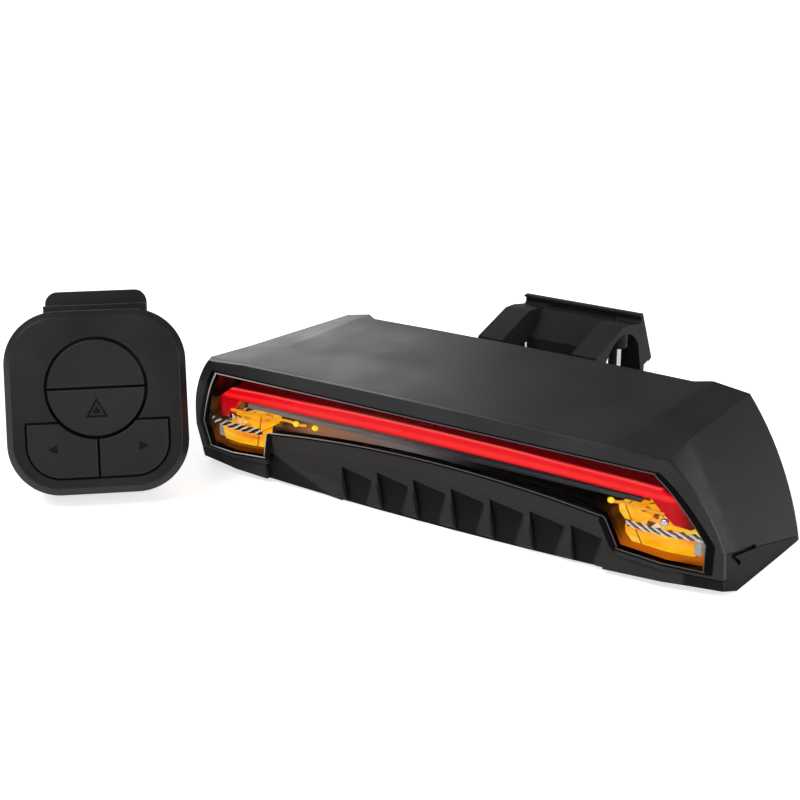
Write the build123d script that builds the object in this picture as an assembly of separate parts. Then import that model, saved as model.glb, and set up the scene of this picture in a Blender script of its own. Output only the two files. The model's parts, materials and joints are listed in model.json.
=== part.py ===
from build123d import *
import os
from math import atan, cos, degrees, pi, radians, sin, sqrt, tan

# A bicycle rear light with turn signals, its seat post bracket and its handlebar remote.
# X runs along the light, -Y is the way the light shines, +Y is towards the bicycle, +Z is up.
# While modelling, y counts back from the upper front edge; export moves the origin to the
# middle of the flat underside, on which the light rests.

# Light body, millimetres
origin_depth = 23.0
crown_half_width = 36.0
crown_height = 24.8
crown_rise = 0.3
front_top_half_width = 44.6
front_top_height = 24.1
front_wide_half_width = 52.7
front_foot_half_width = 52.2
front_foot_height = 2.0
front_swell = 1.3
front_bend_half_width = 43.5
front_bend_share = 0.24
shoulder_depth = 1.9
shoulder_top_half_width = 45.2
shoulder_top_height = 24.3
shoulder_wide_half_width = 53.4
shoulder_foot_half_width = 52.9
shoulder_foot_height = 1.35
keel_depth = 12.0
keel_top_half_width = 44.0
keel_top_height = 23.9
keel_wide_half_width = 53.4
keel_foot_half_width = 53.9
keel_swell = 0.5
rear_depth = 44.0
rear_crown_height = 24.1
rear_top_half_width = 42.4
rear_top_height = 22.5
rear_wide_half_width = 55.6
rear_foot_half_width = 55.9
rear_swell = 1.6
floor_overrun = 1.8
front_lean_share = 0.245
wall = 1.5
parting_depth = 5.5
parting_height = 8.5
parting_fall_share = 0.256
parting_gap = 0.1

# Back of the body, as seen from above at the crown's height
back_recess_depth = 37.7
back_recess_half_width = 33.5
back_ear_half_width = 36.4
back_ear_depth = 40.1
back_corner_half_width = 42.5
back_corner_depth = 41.9
back_lean_share = 0.231
top_inset_share = 0.6
side_inset_share = 1.05

# Window and the front pieces, stacked inwards from the leaned front
bezel_thickness = 1.0
lens_thickness = 1.2
lens_overlap = 0.5
lens_inset = 0.2
fit_gap = 0.12
window_top_half_width = 43.7
window_top_height = 22.1
window_wide_half_width = 51.4
window_wide_height = 9.7
window_foot_half_width = 50.8
window_foot_height = 4.1
window_swell = 0.6
chin_end_half_width = 35.3
chin_end_height = 5.4
chin_top_half_width = 33.4
chin_top_height = 11.1
chin_crest_height = 13.5
bezel_foot_band = 1.2
tray_depth = 8.0
tray_wall = 0.8
tray_margin = 0.2
led_board_thickness = 1.0

# Ribbed chin
chin_thickness = 3.6
gill_count = 7
gill_pitch = 7.65
gill_first = -18.6
gill_depth = 2.5
gill_end_depth = 1.0
gill_rib = 1.2
gill_top_height = 8.9
gill_top_sag = 1.2
gill_top_fall = 1.2
gill_foot_height = 1.5
gill_foot_fall = 1.2
gill_foot_share = 0.75
gill_tilt = 0.8
facet_crease_top = 10.2
facet_crease_end = -19.7
facet_crease_foot = 3.1
facet_depth = 2.2
cove_radius = 7.0
cove_depth = 0.7
cove_drop = 5.0

# Red light guide, its divider and the amber guides
red_bar_crest = 18.8
red_bar_crest_foot = 16.1
red_bar_half_width = 42.8
red_bar_end_top = 18.0
red_bar_foot_half_width = 41.3
red_bar_end_foot = 15.6
red_limb_margin = 2.9
red_limb_shoulder_inset = 1.7
red_limb_shoulder_height = 15.2
red_limb_outer_height = 11.6
red_limb_tip_inset = 1.1
red_limb_tip_height = 10.8
red_limb_breadth = 3.7
red_limb_inner_height = 11.4
guide_depth = 4.2
guide_front_gap = 0.3
divider_height = 0.9
divider_gap = 0.2
divider_half_width = 39.5
divider_depth = 4.6
amber_upper_in_share = 0.18
amber_upper_out_share = 0.83
amber_upper_top = 13.3
amber_upper_height = 2.7
amber_lower_gap = 1.0
amber_lower_margin = 3.0
amber_lower_top = 9.6
amber_lower_height = 3.1
amber_slope_share = 0.06

# Light emitters
led_width = 2.8
led_height = 2.0
led_proud = 0.9
red_led_count = 10
amber_led_count = 3

# Screws and bosses of the body
boss_radius = 2.6
boss_front_x = 47.0
boss_front_y = 21.0
boss_rear_x = 39.5
boss_rear_y = 29.0
screw_radius = 1.0
screw_pilot_radius = 0.85
screw_bite = 6.0
screw_head_radius = 1.9
screw_head_height = 1.1
screw_head_inset = 0.15
screw_seat_height = 1.2
screw_seat_wall = 1.0
screw_slot = 0.5
screw_slot_length = 2.8

# Battery and boards
cell_length = 56.0
cell_width = 19.5
cell_height = 8.6
cell_y = 21.3
cell_round = 2.0
cell_pad_thickness = 0.6
cell_tab_width = 6.0
board_thickness = 1.0
board_half_width = 33.0
board_front = 15.5
board_back = 31.6
board_height = 14.2
board_post_radius = 2.2
board_post_x = 28.0
board_post_front = 18.0
board_post_rear = 28.6
board_screw_radius = 0.8
board_screw_head = 1.5
board_screw_cap = 0.7
chip_width = 7.0
chip_height = 1.1
radio_width = 12.0
radio_depth = 8.0
radio_height = 1.8
plug_width = 8.0
plug_depth = 4.2
plug_height = 3.2

# Charging socket, its cover, and the power button on the back wall
port_x = -21.0
port_width = 7.6
port_height = 2.8
port_depth = 5.4
port_skin = 0.5
port_inner_corner = 0.7
corner_share = 0.333
port_tongue_inset = 1.6
cover_margin = 1.6
cover_thickness = 1.1
cover_plug = 1.4
cover_plug_gap = 0.24
cover_plug_corner = 0.56
cover_pin_radius = 0.6
button_x = 21.0
button_width = 8.0
button_height = 4.0
button_proud = 0.9
button_round = 0.3
button_neck = 0.48
button_flange = 0.9
button_flange_thickness = 0.8
button_travel = 0.5
switch_width = 4.4
switch_height = 3.0
switch_depth = 2.4
plunger_radius = 0.9

# Lane-marking lasers and their windows in the underside
laser_x = 38.0
laser_y = 20.6
laser_radius = 3.0
laser_length = 10.0
laser_tilt = 8.0
laser_sleeve_wall = 0.8
laser_sleeve_height = 6.0
laser_window_radius = 2.6
laser_window_thickness = 0.9
laser_window_inset = 0.25

# Arrow-shaped groove on each side of the body, given by depth and height
groove_tip = (9.9, 6.9)
groove_upper_end = (18.9, 5.2)
groove_lower_end = (13.0, 4.5)
groove_width = 0.7
groove_depth = 0.5

# Rail on the back wall and the bracket that slides on it
rail_half_width = 10.0
rail_foot = 5.0
rail_top = 21.5
rail_back = 41.0
rail_lip = 1.2
tongue_head_half_width = 6.3
tongue_head_thickness = 1.5
tongue_stem_half_width = 3.8
tongue_foot = 6.6
tongue_top = 20.0
rail_gap = 0.15
base_front_gap = 0.25
base_plate_thickness = 2.2
base_plate_half_width = 7.2
bracket_half_width = 12.6
bracket_foot = 4.6
bracket_bed = 11.6
bracket_tail = 66.0
ear_width = 5.2
ear_front = 41.9
ear_front_height = 23.3
ear_back = 62.7
ear_peak_y = 54.0
ear_peak_height = 26.4
ear_peak_length = 3.2
ear_peak_fall = 0.2
arch_front = 46.0
arch_back = 59.5
arch_spring_height = 21.4
arch_crown_height = 24.9
arch_foot_back = 61.0
arch_foot_height = 16.3
ear_panel_thickness = 0.8
ear_panel_foot = 20.4
web_front = 52.4
web_front_height = 21.2
web_back = 57.8
web_back_height = 25.6
web_foot_height = 17.6
web_thickness = 1.8
post_tilt = 25.7
plate_top_y = 61.1
plate_top_height = 27.1
plate_length = 11.3
plate_thickness = 1.2
lip_thickness = 0.4
lip_groove_height = 0.9
lip_groove_depth = 0.7
pad_half_width = 7.5
pad_thickness = 1.5
pad_length = 6.9
post_radius = 16.0
clamp_screw_x = 10.2
clamp_screw_y = 54.4
clamp_screw_radius = 1.25
clamp_boss_radius = 2.3
clamp_boss_foot = 22.0
clamp_screw_top = 25.4
clamp_screw_head_radius = 2.3
clamp_screw_head_height = 1.6

# Remote: its own axes are across (x), up the face (y) and out of the face (z)
remote_x = -56.9
remote_y = -16.1
remote_turn = 41.4
remote_lean = 20.0
remote_width = 32.1
remote_height = 32.8
remote_corner = 9.4
remote_front_thickness = 5.6
remote_back_thickness = 4.9
remote_wall = 1.3
remote_skin = 1.4
remote_rim_chamfer = 1.2
remote_rear_round = 1.0
disc_rise = 2.5
disc_radius = 8.6
disc_groove = 0.5
disc_split = 0.3
key_half_width = 12.6
key_top = -3.4
key_foot = -13.5
key_corner = 6.2
key_groove = 0.35
key_proud = 0.45
key_edge_round = 0.3
key_flange = 0.6
key_flange_thickness = 0.6
key_flange_gap = 0.1
key_ear_drop = 3.0
key_travel = 0.6
key_overhang = 0.8
key_nub_radius = 0.9
key_nub_gap = 0.05
mark_depth = 0.2
arrow_rise = -8.15
arrow_offset = 8.0
arrow_length = 1.6
arrow_half_height = 0.85
sign_rise = -1.6
sign_radius = 2.3
sign_stroke = 0.35
sign_core_radius = 0.9
membrane_thickness = 0.6
membrane_depth = 3.1
dome_radius = 1.8
dome_height = 0.5
remote_board_thickness = 1.0
remote_inner_gap = 0.4
coin_radius = 10.0
coin_thickness = 3.2
coin_ring_wall = 1.1
coin_gap = 0.15
coin_clip_thickness = 0.3
coin_clip_width = 5.0
remote_chip = 3.2
remote_chip_height = 0.9
remote_boss_radius = 1.5
remote_rib_length = 6.0
rib_reach_share = 1.2
board_gap = 0.03
remote_boss_x = 11.0
remote_boss_y = 11.6
remote_screw_radius = 0.6
remote_screw_head = 1.1
remote_screw_cap = 0.7
mount_half_width = 9.4
mount_block_half_height = 12.0
mount_block_thickness = 5.4
mount_web = 1.8
bar_radius = 16.4
hook_reach = 2.4
hook_lip = 2.3
hook_top = 20.9
hook_neck_top = 15.6
hook_neck_drop = 3.3
hook_neck_thickness = 2.2
hook_band_top = 18.0
hook_round = 0.5
mount_pad_thickness = 1.0
mount_pad_half_height = 8.0

overrun = 1.0
far_reach = 200.0

lean_angle = degrees(atan(front_lean_share))
lean_cos = cos(radians(lean_angle))

# Outlines


def lean_depth(z):
    """Depth of the leaned front at a height."""
    return (crown_height - z) * front_lean_share


def front_plane(inset):
    """Plane parallel to the leaned front, a distance inside it, with its axis pointing out."""
    place = Plane(origin=(0, 0, crown_height), x_dir=(1, 0, 0),
                  z_dir=(0, -lean_cos, -sin(radians(lean_angle))))
    return place.offset(-inset)


def in_front(x, z):
    """Place on the leaned front plane of a point given by its height."""
    return (x, (z - crown_height) / lean_cos)


def parting_z(y):
    """Height of the plane between the two shells at a depth."""
    return parting_height - (y - parting_depth) * parting_fall_share


def parting_on_lean(depth):
    """Height where the parting plane meets a plane parallel to the leaned front."""
    shift = crown_height * front_lean_share + depth - parting_depth
    return (parting_height - shift * parting_fall_share) / (1 - parting_fall_share * front_lean_share)


def mirrored_x(shape):
    """The same shape on the other side of the light."""
    return mirror(shape, about=Plane.YZ)


def group(pieces):
    """Several separate solids as one group."""
    return Compound(children=[solid for piece in pieces for solid in piece.solids()])


def swollen(start, end, swell):
    """Edge between two points that bows outwards by a distance."""
    if swell == 0:
        return Line(start, end)
    middle = (Vector(*start) + Vector(*end)) / 2
    run = Vector(*end) - Vector(*start)
    out = Vector(-run.Z, 0, run.X).normalized()
    if out.X * middle.X < 0:
        out = out * -1
    return ThreePointArc(start, middle + out * swell, end)


def station(place, crown, top, wide, foot, swell, keel_height):
    """One closed outline across the body from its right-hand corners."""
    corners = [place(*crown), place(*top), place(*wide), place(*foot)]
    others = [place(-x, z) for x, z in (foot, wide, top, crown)]
    keel = place(0, keel_height)
    if abs(keel[2] - corners[3][2]) < fit_gap:
        under = Line(corners[3], others[0])
    else:
        under = ThreePointArc(corners[3], keel, others[0])
    roof = ThreePointArc(others[3], place(0, crown[1] + crown_rise), corners[0])
    edges = [Line(corners[0], corners[1]), swollen(corners[1], corners[2], swell),
             Line(corners[2], corners[3]), under, Line(others[0], others[1]),
             swollen(others[1], others[2], swell), Line(others[2], others[3]), roof]
    return Wire(edges)


def body_form(inset, front_depth):
    """The light's whole outer form, or its hollow when it is set in by the wall."""
    def leaned(depth):
        return lambda x, z: (x, lean_depth(z) + depth, z)

    def upright(depth):
        return lambda x, z: (x, depth, z)

    def pulled(crown, top, wide, foot):
        return ((crown[0], crown[1] - inset), (top[0] - inset * top_inset_share, top[1] - inset),
                (wide[0] - inset * side_inset_share, wide[1]),
                (foot[0] - inset * side_inset_share, foot[1] + inset))

    stations = []
    if front_depth < shoulder_depth:
        corners = pulled((crown_half_width, crown_height), (front_top_half_width, front_top_height),
                         (front_wide_half_width, parting_on_lean(front_depth)),
                         (front_foot_half_width, front_foot_height))
        stations.append(station(leaned(front_depth), *corners, front_swell, inset))
    shoulder = max(front_depth, shoulder_depth)
    corners = pulled((crown_half_width, crown_height), (shoulder_top_half_width, shoulder_top_height),
                     (shoulder_wide_half_width, parting_on_lean(shoulder)),
                     (shoulder_foot_half_width, shoulder_foot_height))
    stations.append(station(leaned(shoulder), *corners, front_swell, inset))
    corners = pulled((crown_half_width, crown_height), (keel_top_half_width, keel_top_height),
                     (keel_wide_half_width, parting_z(keel_depth)), (keel_foot_half_width, 0))
    stations.append(station(upright(keel_depth), *corners, keel_swell, inset))
    corners = pulled((crown_half_width, rear_crown_height), (rear_top_half_width, rear_top_height),
                     (rear_wide_half_width, parting_z(rear_depth)),
                     (rear_foot_half_width, -floor_overrun))
    stations.append(station(upright(rear_depth), *corners, rear_swell, inset - floor_overrun))
    form = Solid.make_loft(stations, True)
    return form & back_limit(inset) & above_floor(inset) & behind(front_depth * lean_cos)


def back_limit(inset):
    """Everything in front of the leaned back with its two ears and the recess between them."""
    drop = crown_height * back_lean_share
    half = [(0, back_recess_depth), (back_recess_half_width, back_recess_depth),
            (back_ear_half_width, back_ear_depth), (back_corner_half_width, back_corner_depth),
            (rear_foot_half_width + overrun, back_corner_depth)]
    reach = far_reach / 2
    points = [(x, y - drop - inset, 0) for x, y in half[1:]]
    points += [(rear_foot_half_width + overrun, -reach, 0)]
    points += [(-x, y, z) for x, y, z in reversed(points)]
    outline = make_face(Polyline(*points, close=True))
    slant = Vector(0, back_lean_share, 1).normalized()
    shift = Vector(0, -back_lean_share, -1) * overrun
    return extrude(outline.moved(Location(shift)), far_reach / 2, dir=slant)


def above_floor(height):
    """Everything above a level."""
    return Pos(0, 0, height + far_reach / 2) * Box(far_reach, far_reach, far_reach)


def above_parting(gap):
    """Everything above the parting plane, moved up by a gap."""
    fall = degrees(atan(parting_fall_share))
    place = Pos(0, parting_depth, parting_height + gap) * Rot(-fall, 0, 0)
    return place * Pos(0, 0, far_reach / 2) * Box(far_reach, far_reach, far_reach)


def level_block(outline, near, far, bent=True):
    """A level block with an outline seen from the front, between two depths along the lean."""
    face = outline.faces()[0]
    bar = extrude(face.moved(Location((0, -far_reach / 4, 0))), far_reach / 2, dir=(0, 1, 0))
    return bar & front_slab(near, far, bent)


def upright_outline(edges, margin):
    """A closed outline seen from the front, grown or shrunk by a margin."""
    outline = make_face(Wire(edges))
    if margin != 0:
        outline = offset(outline, amount=margin, kind=Kind.INTERSECTION)
    return outline


def chain(points):
    """Straight edges through places given across and up."""
    places = [(x, 0, z) for x, z in points]
    return [Line(a, b) for a, b in zip(places, places[1:])]


def window_block(margin, near, far, bent=True):
    """The window's hexagon, cut by the chin's arc, as a level block behind the front."""
    right = [(window_top_half_width, window_top_height), (window_wide_half_width, window_wide_height),
             (window_foot_half_width, window_foot_height), (chin_end_half_width, chin_end_height),
             (chin_top_half_width, chin_top_height)]
    left = [(-x, z) for x, z in reversed(right)]
    edges = chain([left[-1], right[0]]) + chain(right[1:]) + chain(left[:-1])
    for start, end in ((right[0], right[1]), (left[-2], left[-1])):
        edges.append(swollen((start[0], 0, start[1]), (end[0], 0, end[1]), window_swell))
    edges += [ThreePointArc((right[-1][0], 0, right[-1][1]), (0, 0, chin_crest_height),
                            (left[0][0], 0, left[0][1]))]
    return level_block(upright_outline(edges, margin), near, far, bent)


def lower_front_block(margin, near, far):
    """The part of the front that belongs to the lower shell: the chin and the strips beside it."""
    side = rear_foot_half_width + overrun
    foot = window_foot_height - bezel_foot_band
    right = [(chin_top_half_width, chin_top_height), (chin_end_half_width, chin_end_height),
             (chin_end_half_width, chin_end_height - bezel_foot_band), (side, foot), (side, -overrun)]
    left = [(-x, z) for x, z in reversed(right)]
    edges = chain(right + left)
    edges += [ThreePointArc((left[-1][0], 0, left[-1][1]), (0, 0, chin_crest_height),
                            (right[0][0], 0, right[0][1]))]
    return level_block(upright_outline(edges, margin), near, far)


def behind(depth, bent=True):
    """Everything deeper than a distance inside the leaned front, whose ends bend back."""
    block = front_plane(depth) * Pos(0, 0, -far_reach / 4) * Box(far_reach, far_reach, far_reach / 2)
    if bent:
        turn = degrees(atan(front_bend_share))
        for side in (-1, 1):
            hinge = front_plane(depth) * Pos(side * front_bend_half_width, 0, 0) * Rot(0, side * turn, 0)
            block = block & (hinge * Pos(0, 0, -far_reach / 2) * Box(far_reach * 2, far_reach * 2, far_reach))
    return block


def front_slab(near, far, bent=True):
    """A slab between two distances inside the leaned front."""
    return behind(near, bent) - behind(far, bent)


def front_prism(points, near, far, bent=True):
    """A level block with a straight-edged outline seen from the front."""
    return level_block(upright_outline(chain(points + points[:1]), 0), near, far, bent)


def front_box(x_low, x_high, z_low, z_high, near, far, bent=True):
    """A level block behind the front between two heights."""
    outline = [(x_low, z_low), (x_high, z_low), (x_high, z_high), (x_low, z_high)]
    return front_prism(outline, near, far, bent)


# Shells and window

cavity_depth = bezel_thickness + lens_thickness
boss_foot = wall + screw_seat_height + fit_gap


def boss_places():
    """Where the four body screws stand."""
    return [(boss_front_x, boss_front_y), (-boss_front_x, boss_front_y),
            (boss_rear_x, boss_rear_y), (-boss_rear_x, boss_rear_y)]


def rod(x, y, z_low, z_high, radius):
    """An upright round bar."""
    return Pos(x, y, (z_low + z_high) / 2) * Cylinder(radius, z_high - z_low)


def hollow():
    """The room inside the two shells."""
    return body_form(wall, cavity_depth / lean_cos)


def board_posts():
    """The four posts that hang from the roof and hold the main board."""
    places = [(x, y) for x in (-board_post_x, board_post_x) for y in (board_post_front, board_post_rear)]
    return places


def port_axis_z():
    """Height of the charging socket's centre above its board."""
    return board_height + board_thickness + port_height / 2


def back_wall_y(z):
    """Outer face of the back wall's recess at a height."""
    return back_recess_depth - (crown_height - z) * back_lean_share


def back_place(x, z):
    """Frame on the back wall's recess: its axis points out of the wall, its y axis up it."""
    tilt = atan(back_lean_share)
    return Plane(origin=(x, back_wall_y(z), z), x_dir=(-1, 0, 0), z_dir=(0, cos(tilt), -sin(tilt)))


def rounded_block(width, height, depth, corner):
    """A block with rounded upright edges, standing on its own base plane."""
    return extrude(RectangleRounded(width, height, corner), depth)


def port_opening(margin):
    """Level hole through the back wall for the charging socket."""
    sheet = RectangleRounded(port_width + margin * 2, port_height + margin * 2, port_height / 3)
    form = extrude(Plane.XZ * sheet, wall * 2 + overrun)
    return Pos(port_x, back_wall_y(port_axis_z()) + overrun, port_axis_z()) * form


def button_opening(margin):
    """Hole in the back wall for the power button."""
    form = rounded_block(button_width + margin * 2, button_height + margin * 2, wall * 2 + overrun,
                         button_height * corner_share)
    place = back_place(button_x, port_axis_z())
    return place * Pos(0, 0, -wall * 2) * form


def top_shell():
    """The hood: roof, both sloping sides and the back wall, with the bosses inside."""
    form = body_form(0, 0) & above_parting(parting_gap / 2)
    form = form - hollow() - front_slab(-overrun, bezel_thickness)
    form = form - window_block(lens_overlap + fit_gap, 0, cavity_depth + overrun)
    form = form - lower_front_block(fit_gap, 0, chin_thickness + overrun)
    inside = hollow()
    for x, y in boss_places():
        form = form + (rod(x, y, boss_foot, crown_height, boss_radius) & inside)
    for x, y in board_posts():
        post = rod(x, y, board_height + board_thickness, crown_height, board_post_radius)
        form = form + (post & inside)
    for x, y in boss_places():
        form = form - rod(x, y, 0, boss_foot + screw_bite + overrun, screw_pilot_radius)
    for x, y in board_posts():
        top = board_height + board_thickness + screw_bite / 2
        form = form - rod(x, y, board_height, top, board_screw_radius)
    form = form - port_opening(fit_gap) - button_opening(fit_gap)
    return form - side_grooves()


def groove_bar(start, end):
    """A straight bar across the whole light between two places given by depth and height."""
    run = Vector(end[0] - start[0], end[1] - start[1])
    length = run.length + groove_width
    middle = ((start[0] + end[0]) / 2, (start[1] + end[1]) / 2)
    turn = degrees(atan(run.Y / run.X))
    bar = Box(rear_foot_half_width * 2 + overrun * 2, length, groove_width)
    return Pos(0, *middle) * Rot(turn, 0, 0) * bar


def side_grooves():
    """The shallow arrow-shaped grooves on both sides of the body."""
    bars = groove_bar(groove_tip, groove_upper_end) + groove_bar(groove_tip, groove_lower_end)
    return bars - body_form(groove_depth, 0)


def level_in_front(z):
    """Place of a height along the leaned front's own upward axis."""
    return in_front(0, z)[1]


def slant(low, low_depths, high, high_depths, start, end):
    """A block in front of a face that is given by its depths at two heights and two places."""
    outlines = []
    for z, depths in ((low, low_depths), (high, high_depths)):
        up = level_in_front(z)
        places = [(start, up, -depths[0]), (end, up, -depths[1]), (end, up, overrun), (start, up, overrun)]
        outlines.append(Wire(Polyline(*places, close=True).edges()))
    return front_plane(0) * Solid.make_loft(outlines, True)


def gill_top(x):
    """Height of a pocket's top at its left wall; the row follows the crest's curve."""
    middle = gill_first + gill_pitch * (gill_count - 1) / 2
    return gill_top_height - gill_top_sag * ((x - middle) / (middle - gill_first)) ** 2


def gill_cut(start, end):
    """One sloping pocket, deepest at its left wall and at its top, and the bevel under it."""
    top = gill_top(start)
    outline = [(start, top), (end, top - gill_top_fall), (end, -overrun), (start, -overrun)]
    shallow = (gill_depth - gill_tilt, gill_end_depth - gill_tilt)
    floor = slant(0, shallow, top, (gill_depth, gill_end_depth), start, end)
    pocket = front_prism(outline, -overrun, chin_thickness) & floor
    feet = (gill_foot_height, gill_foot_height - gill_foot_fall)
    deep = [depth + (foot + overrun) * gill_foot_share for depth, foot in zip(shallow, feet)]
    near = [depth - (gill_foot_height - foot) * gill_foot_share for depth, foot in zip(shallow, feet)]
    return [pocket, slant(-overrun, deep, gill_foot_height, near, start, end)]


def chin_facet():
    """The flat that slants away from a crease between the chin's left end and its first pocket."""
    first = Vector(-chin_top_half_width, level_in_front(facet_crease_top), 0)
    last = Vector(facet_crease_end, level_in_front(facet_crease_foot), 0)
    crease = (last - first).normalized()
    place = front_plane(0) * Plane(origin=first, x_dir=crease, z_dir=(0, 0, 1))
    corner = Vector(-chin_end_half_width, level_in_front(0), 0) - first
    turn = degrees(atan(facet_depth / abs(crease.cross(corner).Z)))
    block = Pos(0, -far_reach / 4, far_reach / 4) * Box(far_reach / 2, far_reach / 2, far_reach / 2)
    return place * Rot(turn, 0, 0) * block


def cove_cut():
    """A long hollow along the chin under its crest, cut by a ring of the crest's own curve."""
    rise = chin_crest_height - chin_top_height
    sweep = (chin_top_half_width ** 2 + rise ** 2) / (2 * rise)
    crest = in_front(0, chin_crest_height)[1]
    centre = crest - sweep
    ring = sweep - cove_drop
    torus = Pos(0, centre, cove_radius - cove_depth) * Torus(ring, cove_radius)
    return front_plane(0) * torus


def gills(form):
    """Cuts the chin's row of pockets, the bevel under them and the flat at their left."""
    last = gill_first + gill_count * gill_pitch
    deep = (gill_foot_height + overrun) * gill_foot_share
    for index in range(gill_count):
        start = gill_first + index * gill_pitch
        end = start + gill_pitch - gill_rib
        if index == gill_count - 1:
            end = min(end, chin_end_half_width - gill_rib * 2)
            last = end
        for cut in gill_cut(start, end):
            form = form - cut
    form = form - slant(-overrun, (deep, deep), gill_foot_height, (0, 0), gill_first - gill_rib, last)
    return form - (chin_facet() & front_box(-chin_end_half_width - overrun, gill_first - gill_rib, -overrun,
                                            chin_top_height, -overrun, chin_thickness))


def laser_place(side):
    """Frame at a laser's window, its axis pointing up along the tilted laser."""
    return Pos(side * laser_x, laser_y, 0) * Rot(0, -side * laser_tilt, 0)


def bottom_shell():
    """The lower tray with the ribbed chin, the screw seats and the two laser sleeves."""
    whole = body_form(0, 0)
    tray = whole - above_parting(-parting_gap / 2) - hollow() - front_slab(-overrun, bezel_thickness)
    chin = whole & lower_front_block(0, -overrun, chin_thickness + fit_gap)
    chin = chin - cove_cut()
    chin = gills(chin)
    form = tray + chin
    form = form - window_block(lens_overlap + fit_gap, bezel_thickness, cavity_depth + overrun)
    for side in (-1, 1):
        sleeve = Pos(0, 0, laser_sleeve_height / 2) * Cylinder(laser_radius + laser_sleeve_wall,
                                                               laser_sleeve_height + wall)
        form = form + ((laser_place(side) * sleeve) & above_floor(wall / 2))
    for side in (-1, 1):
        bore = Pos(0, 0, wall + laser_length / 2) * Cylinder(laser_radius + fit_gap / 2, laser_length)
        form = form - laser_place(side) * bore
        form = form - Pos(side * laser_x, laser_y, 0) * Cylinder(laser_window_radius + fit_gap / 2, wall * 4)
    for x, y in boss_places():
        seat = rod(x, y, wall / 2, wall + screw_seat_height, screw_head_radius + screw_seat_wall)
        form = form + (seat & whole)
    for x, y in boss_places():
        form = form - rod(x, y, -overrun, wall + screw_seat_height + overrun, screw_radius + fit_gap)
        form = form - rod(x, y, -overrun, screw_head_height + screw_head_inset, screw_head_radius + fit_gap)
    return form - side_grooves()


def front_bezel():
    """The thin trim frame around the window."""
    form = body_form(0, 0) & front_slab(-overrun, bezel_thickness)
    form = form - window_block(0, -overrun, bezel_thickness + overrun)
    return form - lower_front_block(fit_gap, -overrun, bezel_thickness + overrun)


def front_lens():
    """The clear window: it fills the bezel nearly flush and has a rim behind it."""
    pane = window_block(-fit_gap, lens_inset, cavity_depth)
    return pane + window_block(lens_overlap, bezel_thickness, cavity_depth)


def reflector_tray():
    """The open tray behind the window that holds the light guides."""
    near = cavity_depth
    far = cavity_depth + tray_depth
    form = window_block(-tray_margin, near, far, False) & behind(near) & body_form(wall + fit_gap, near)
    form = form - window_block(-tray_margin - tray_wall, near - overrun, far - tray_wall, False)
    form = form - divider_block(fit_gap)
    for x in led_places(red_led_count, red_bar_half_width - led_width):
        form = form - led_block(x, red_bar_middle(), far - tray_wall - overrun, far + overrun, fit_gap)
    for side, x, z in amber_led_places():
        form = form - led_block(side * x, z, far - tray_wall - overrun, far + overrun, fit_gap)
    return form


def led_places(count, reach):
    """Evenly spaced places along a guide."""
    return [-reach + 2 * reach * index / (count - 1) for index in range(count)]


def amber_led_places():
    """Side, distance from the middle and height of each amber emitter."""
    places = []
    mid = (amber_lower_in + amber_lower_out) / 2
    reach = (amber_lower_out - amber_lower_in) / 2 - led_width
    for side in (-1, 1):
        for shift in led_places(amber_led_count, reach):
            places.append((side, mid + shift, amber_lower_top - amber_lower_height / 2))
        middle = (amber_upper_in + amber_upper_out) / 2
        places.append((side, middle, amber_upper_top - amber_upper_height / 2))
    return places


def led_block(x, z, near, far, margin):
    """A block of an emitter's outline, or the hole for it."""
    half = led_width / 2 + margin
    tall = led_height / 2 + margin
    return front_box(x - half, x + half, z - tall, z + tall, near, far, False)


red_limb_half_width = window_wide_half_width - red_limb_margin
red_limb_inner_half_width = red_limb_half_width - red_limb_breadth
amber_upper_room = red_limb_inner_half_width - chin_top_half_width
amber_upper_in = chin_top_half_width + amber_upper_room * amber_upper_in_share
amber_upper_out = chin_top_half_width + amber_upper_room * amber_upper_out_share
amber_lower_in = max(chin_top_half_width, chin_end_half_width) + amber_lower_gap
amber_lower_out = window_foot_half_width - amber_lower_margin
guide_near = cavity_depth + guide_front_gap
guide_far = guide_near + guide_depth
tray_far = cavity_depth + tray_depth


def red_light_guide():
    """The red bar with its two limbs that turn down at the ends."""
    right = [(red_bar_half_width, red_bar_end_top),
             (red_limb_half_width - red_limb_shoulder_inset, red_limb_shoulder_height),
             (red_limb_half_width, red_limb_outer_height),
             (red_limb_half_width - red_limb_tip_inset, red_limb_tip_height),
             (red_limb_inner_half_width, red_limb_inner_height),
             (red_bar_foot_half_width, red_bar_end_foot)]
    left = [(-x, z) for x, z in reversed(right)]
    edges = chain(right) + chain(left)
    for start, crest, end in ((right[-1], red_bar_crest_foot, left[0]), (left[-1], red_bar_crest, right[0])):
        edges.append(ThreePointArc((start[0], 0, start[1]), (0, 0, crest), (end[0], 0, end[1])))
    return level_block(upright_outline(edges, 0), guide_near, guide_far)


def red_bar_middle():
    """Height of the red bar's middle line."""
    return (red_bar_end_top + red_bar_end_foot) / 2


def divider_block(margin):
    """The room that the strip under the red bar takes up."""
    top = red_bar_end_foot - divider_gap
    reach = divider_half_width + margin
    return front_box(-reach, reach, top - divider_height - margin, top + margin,
                     guide_near - margin, guide_near + divider_depth + margin)


def divider_trim():
    """The thin strip under the red bar."""
    return divider_block(0)


def amber_guide(side, x_in, x_out, top, height):
    """A slanted amber block, lower towards the end of the light."""
    fall = (x_out - x_in) * amber_slope_share
    points = [(side * x_in, top), (side * x_out, top - fall), (side * x_out, top - fall - height),
              (side * (x_in + height / 3), top - height), (side * x_in, top - height / 2)]
    return front_prism(points, guide_near, guide_far)


def red_leds():
    """The row of red emitters behind the bar."""
    near = tray_far - led_proud
    places = led_places(red_led_count, red_bar_half_width - led_width)
    return group([led_block(x, red_bar_middle(), near, tray_far, 0) for x in places])


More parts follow.
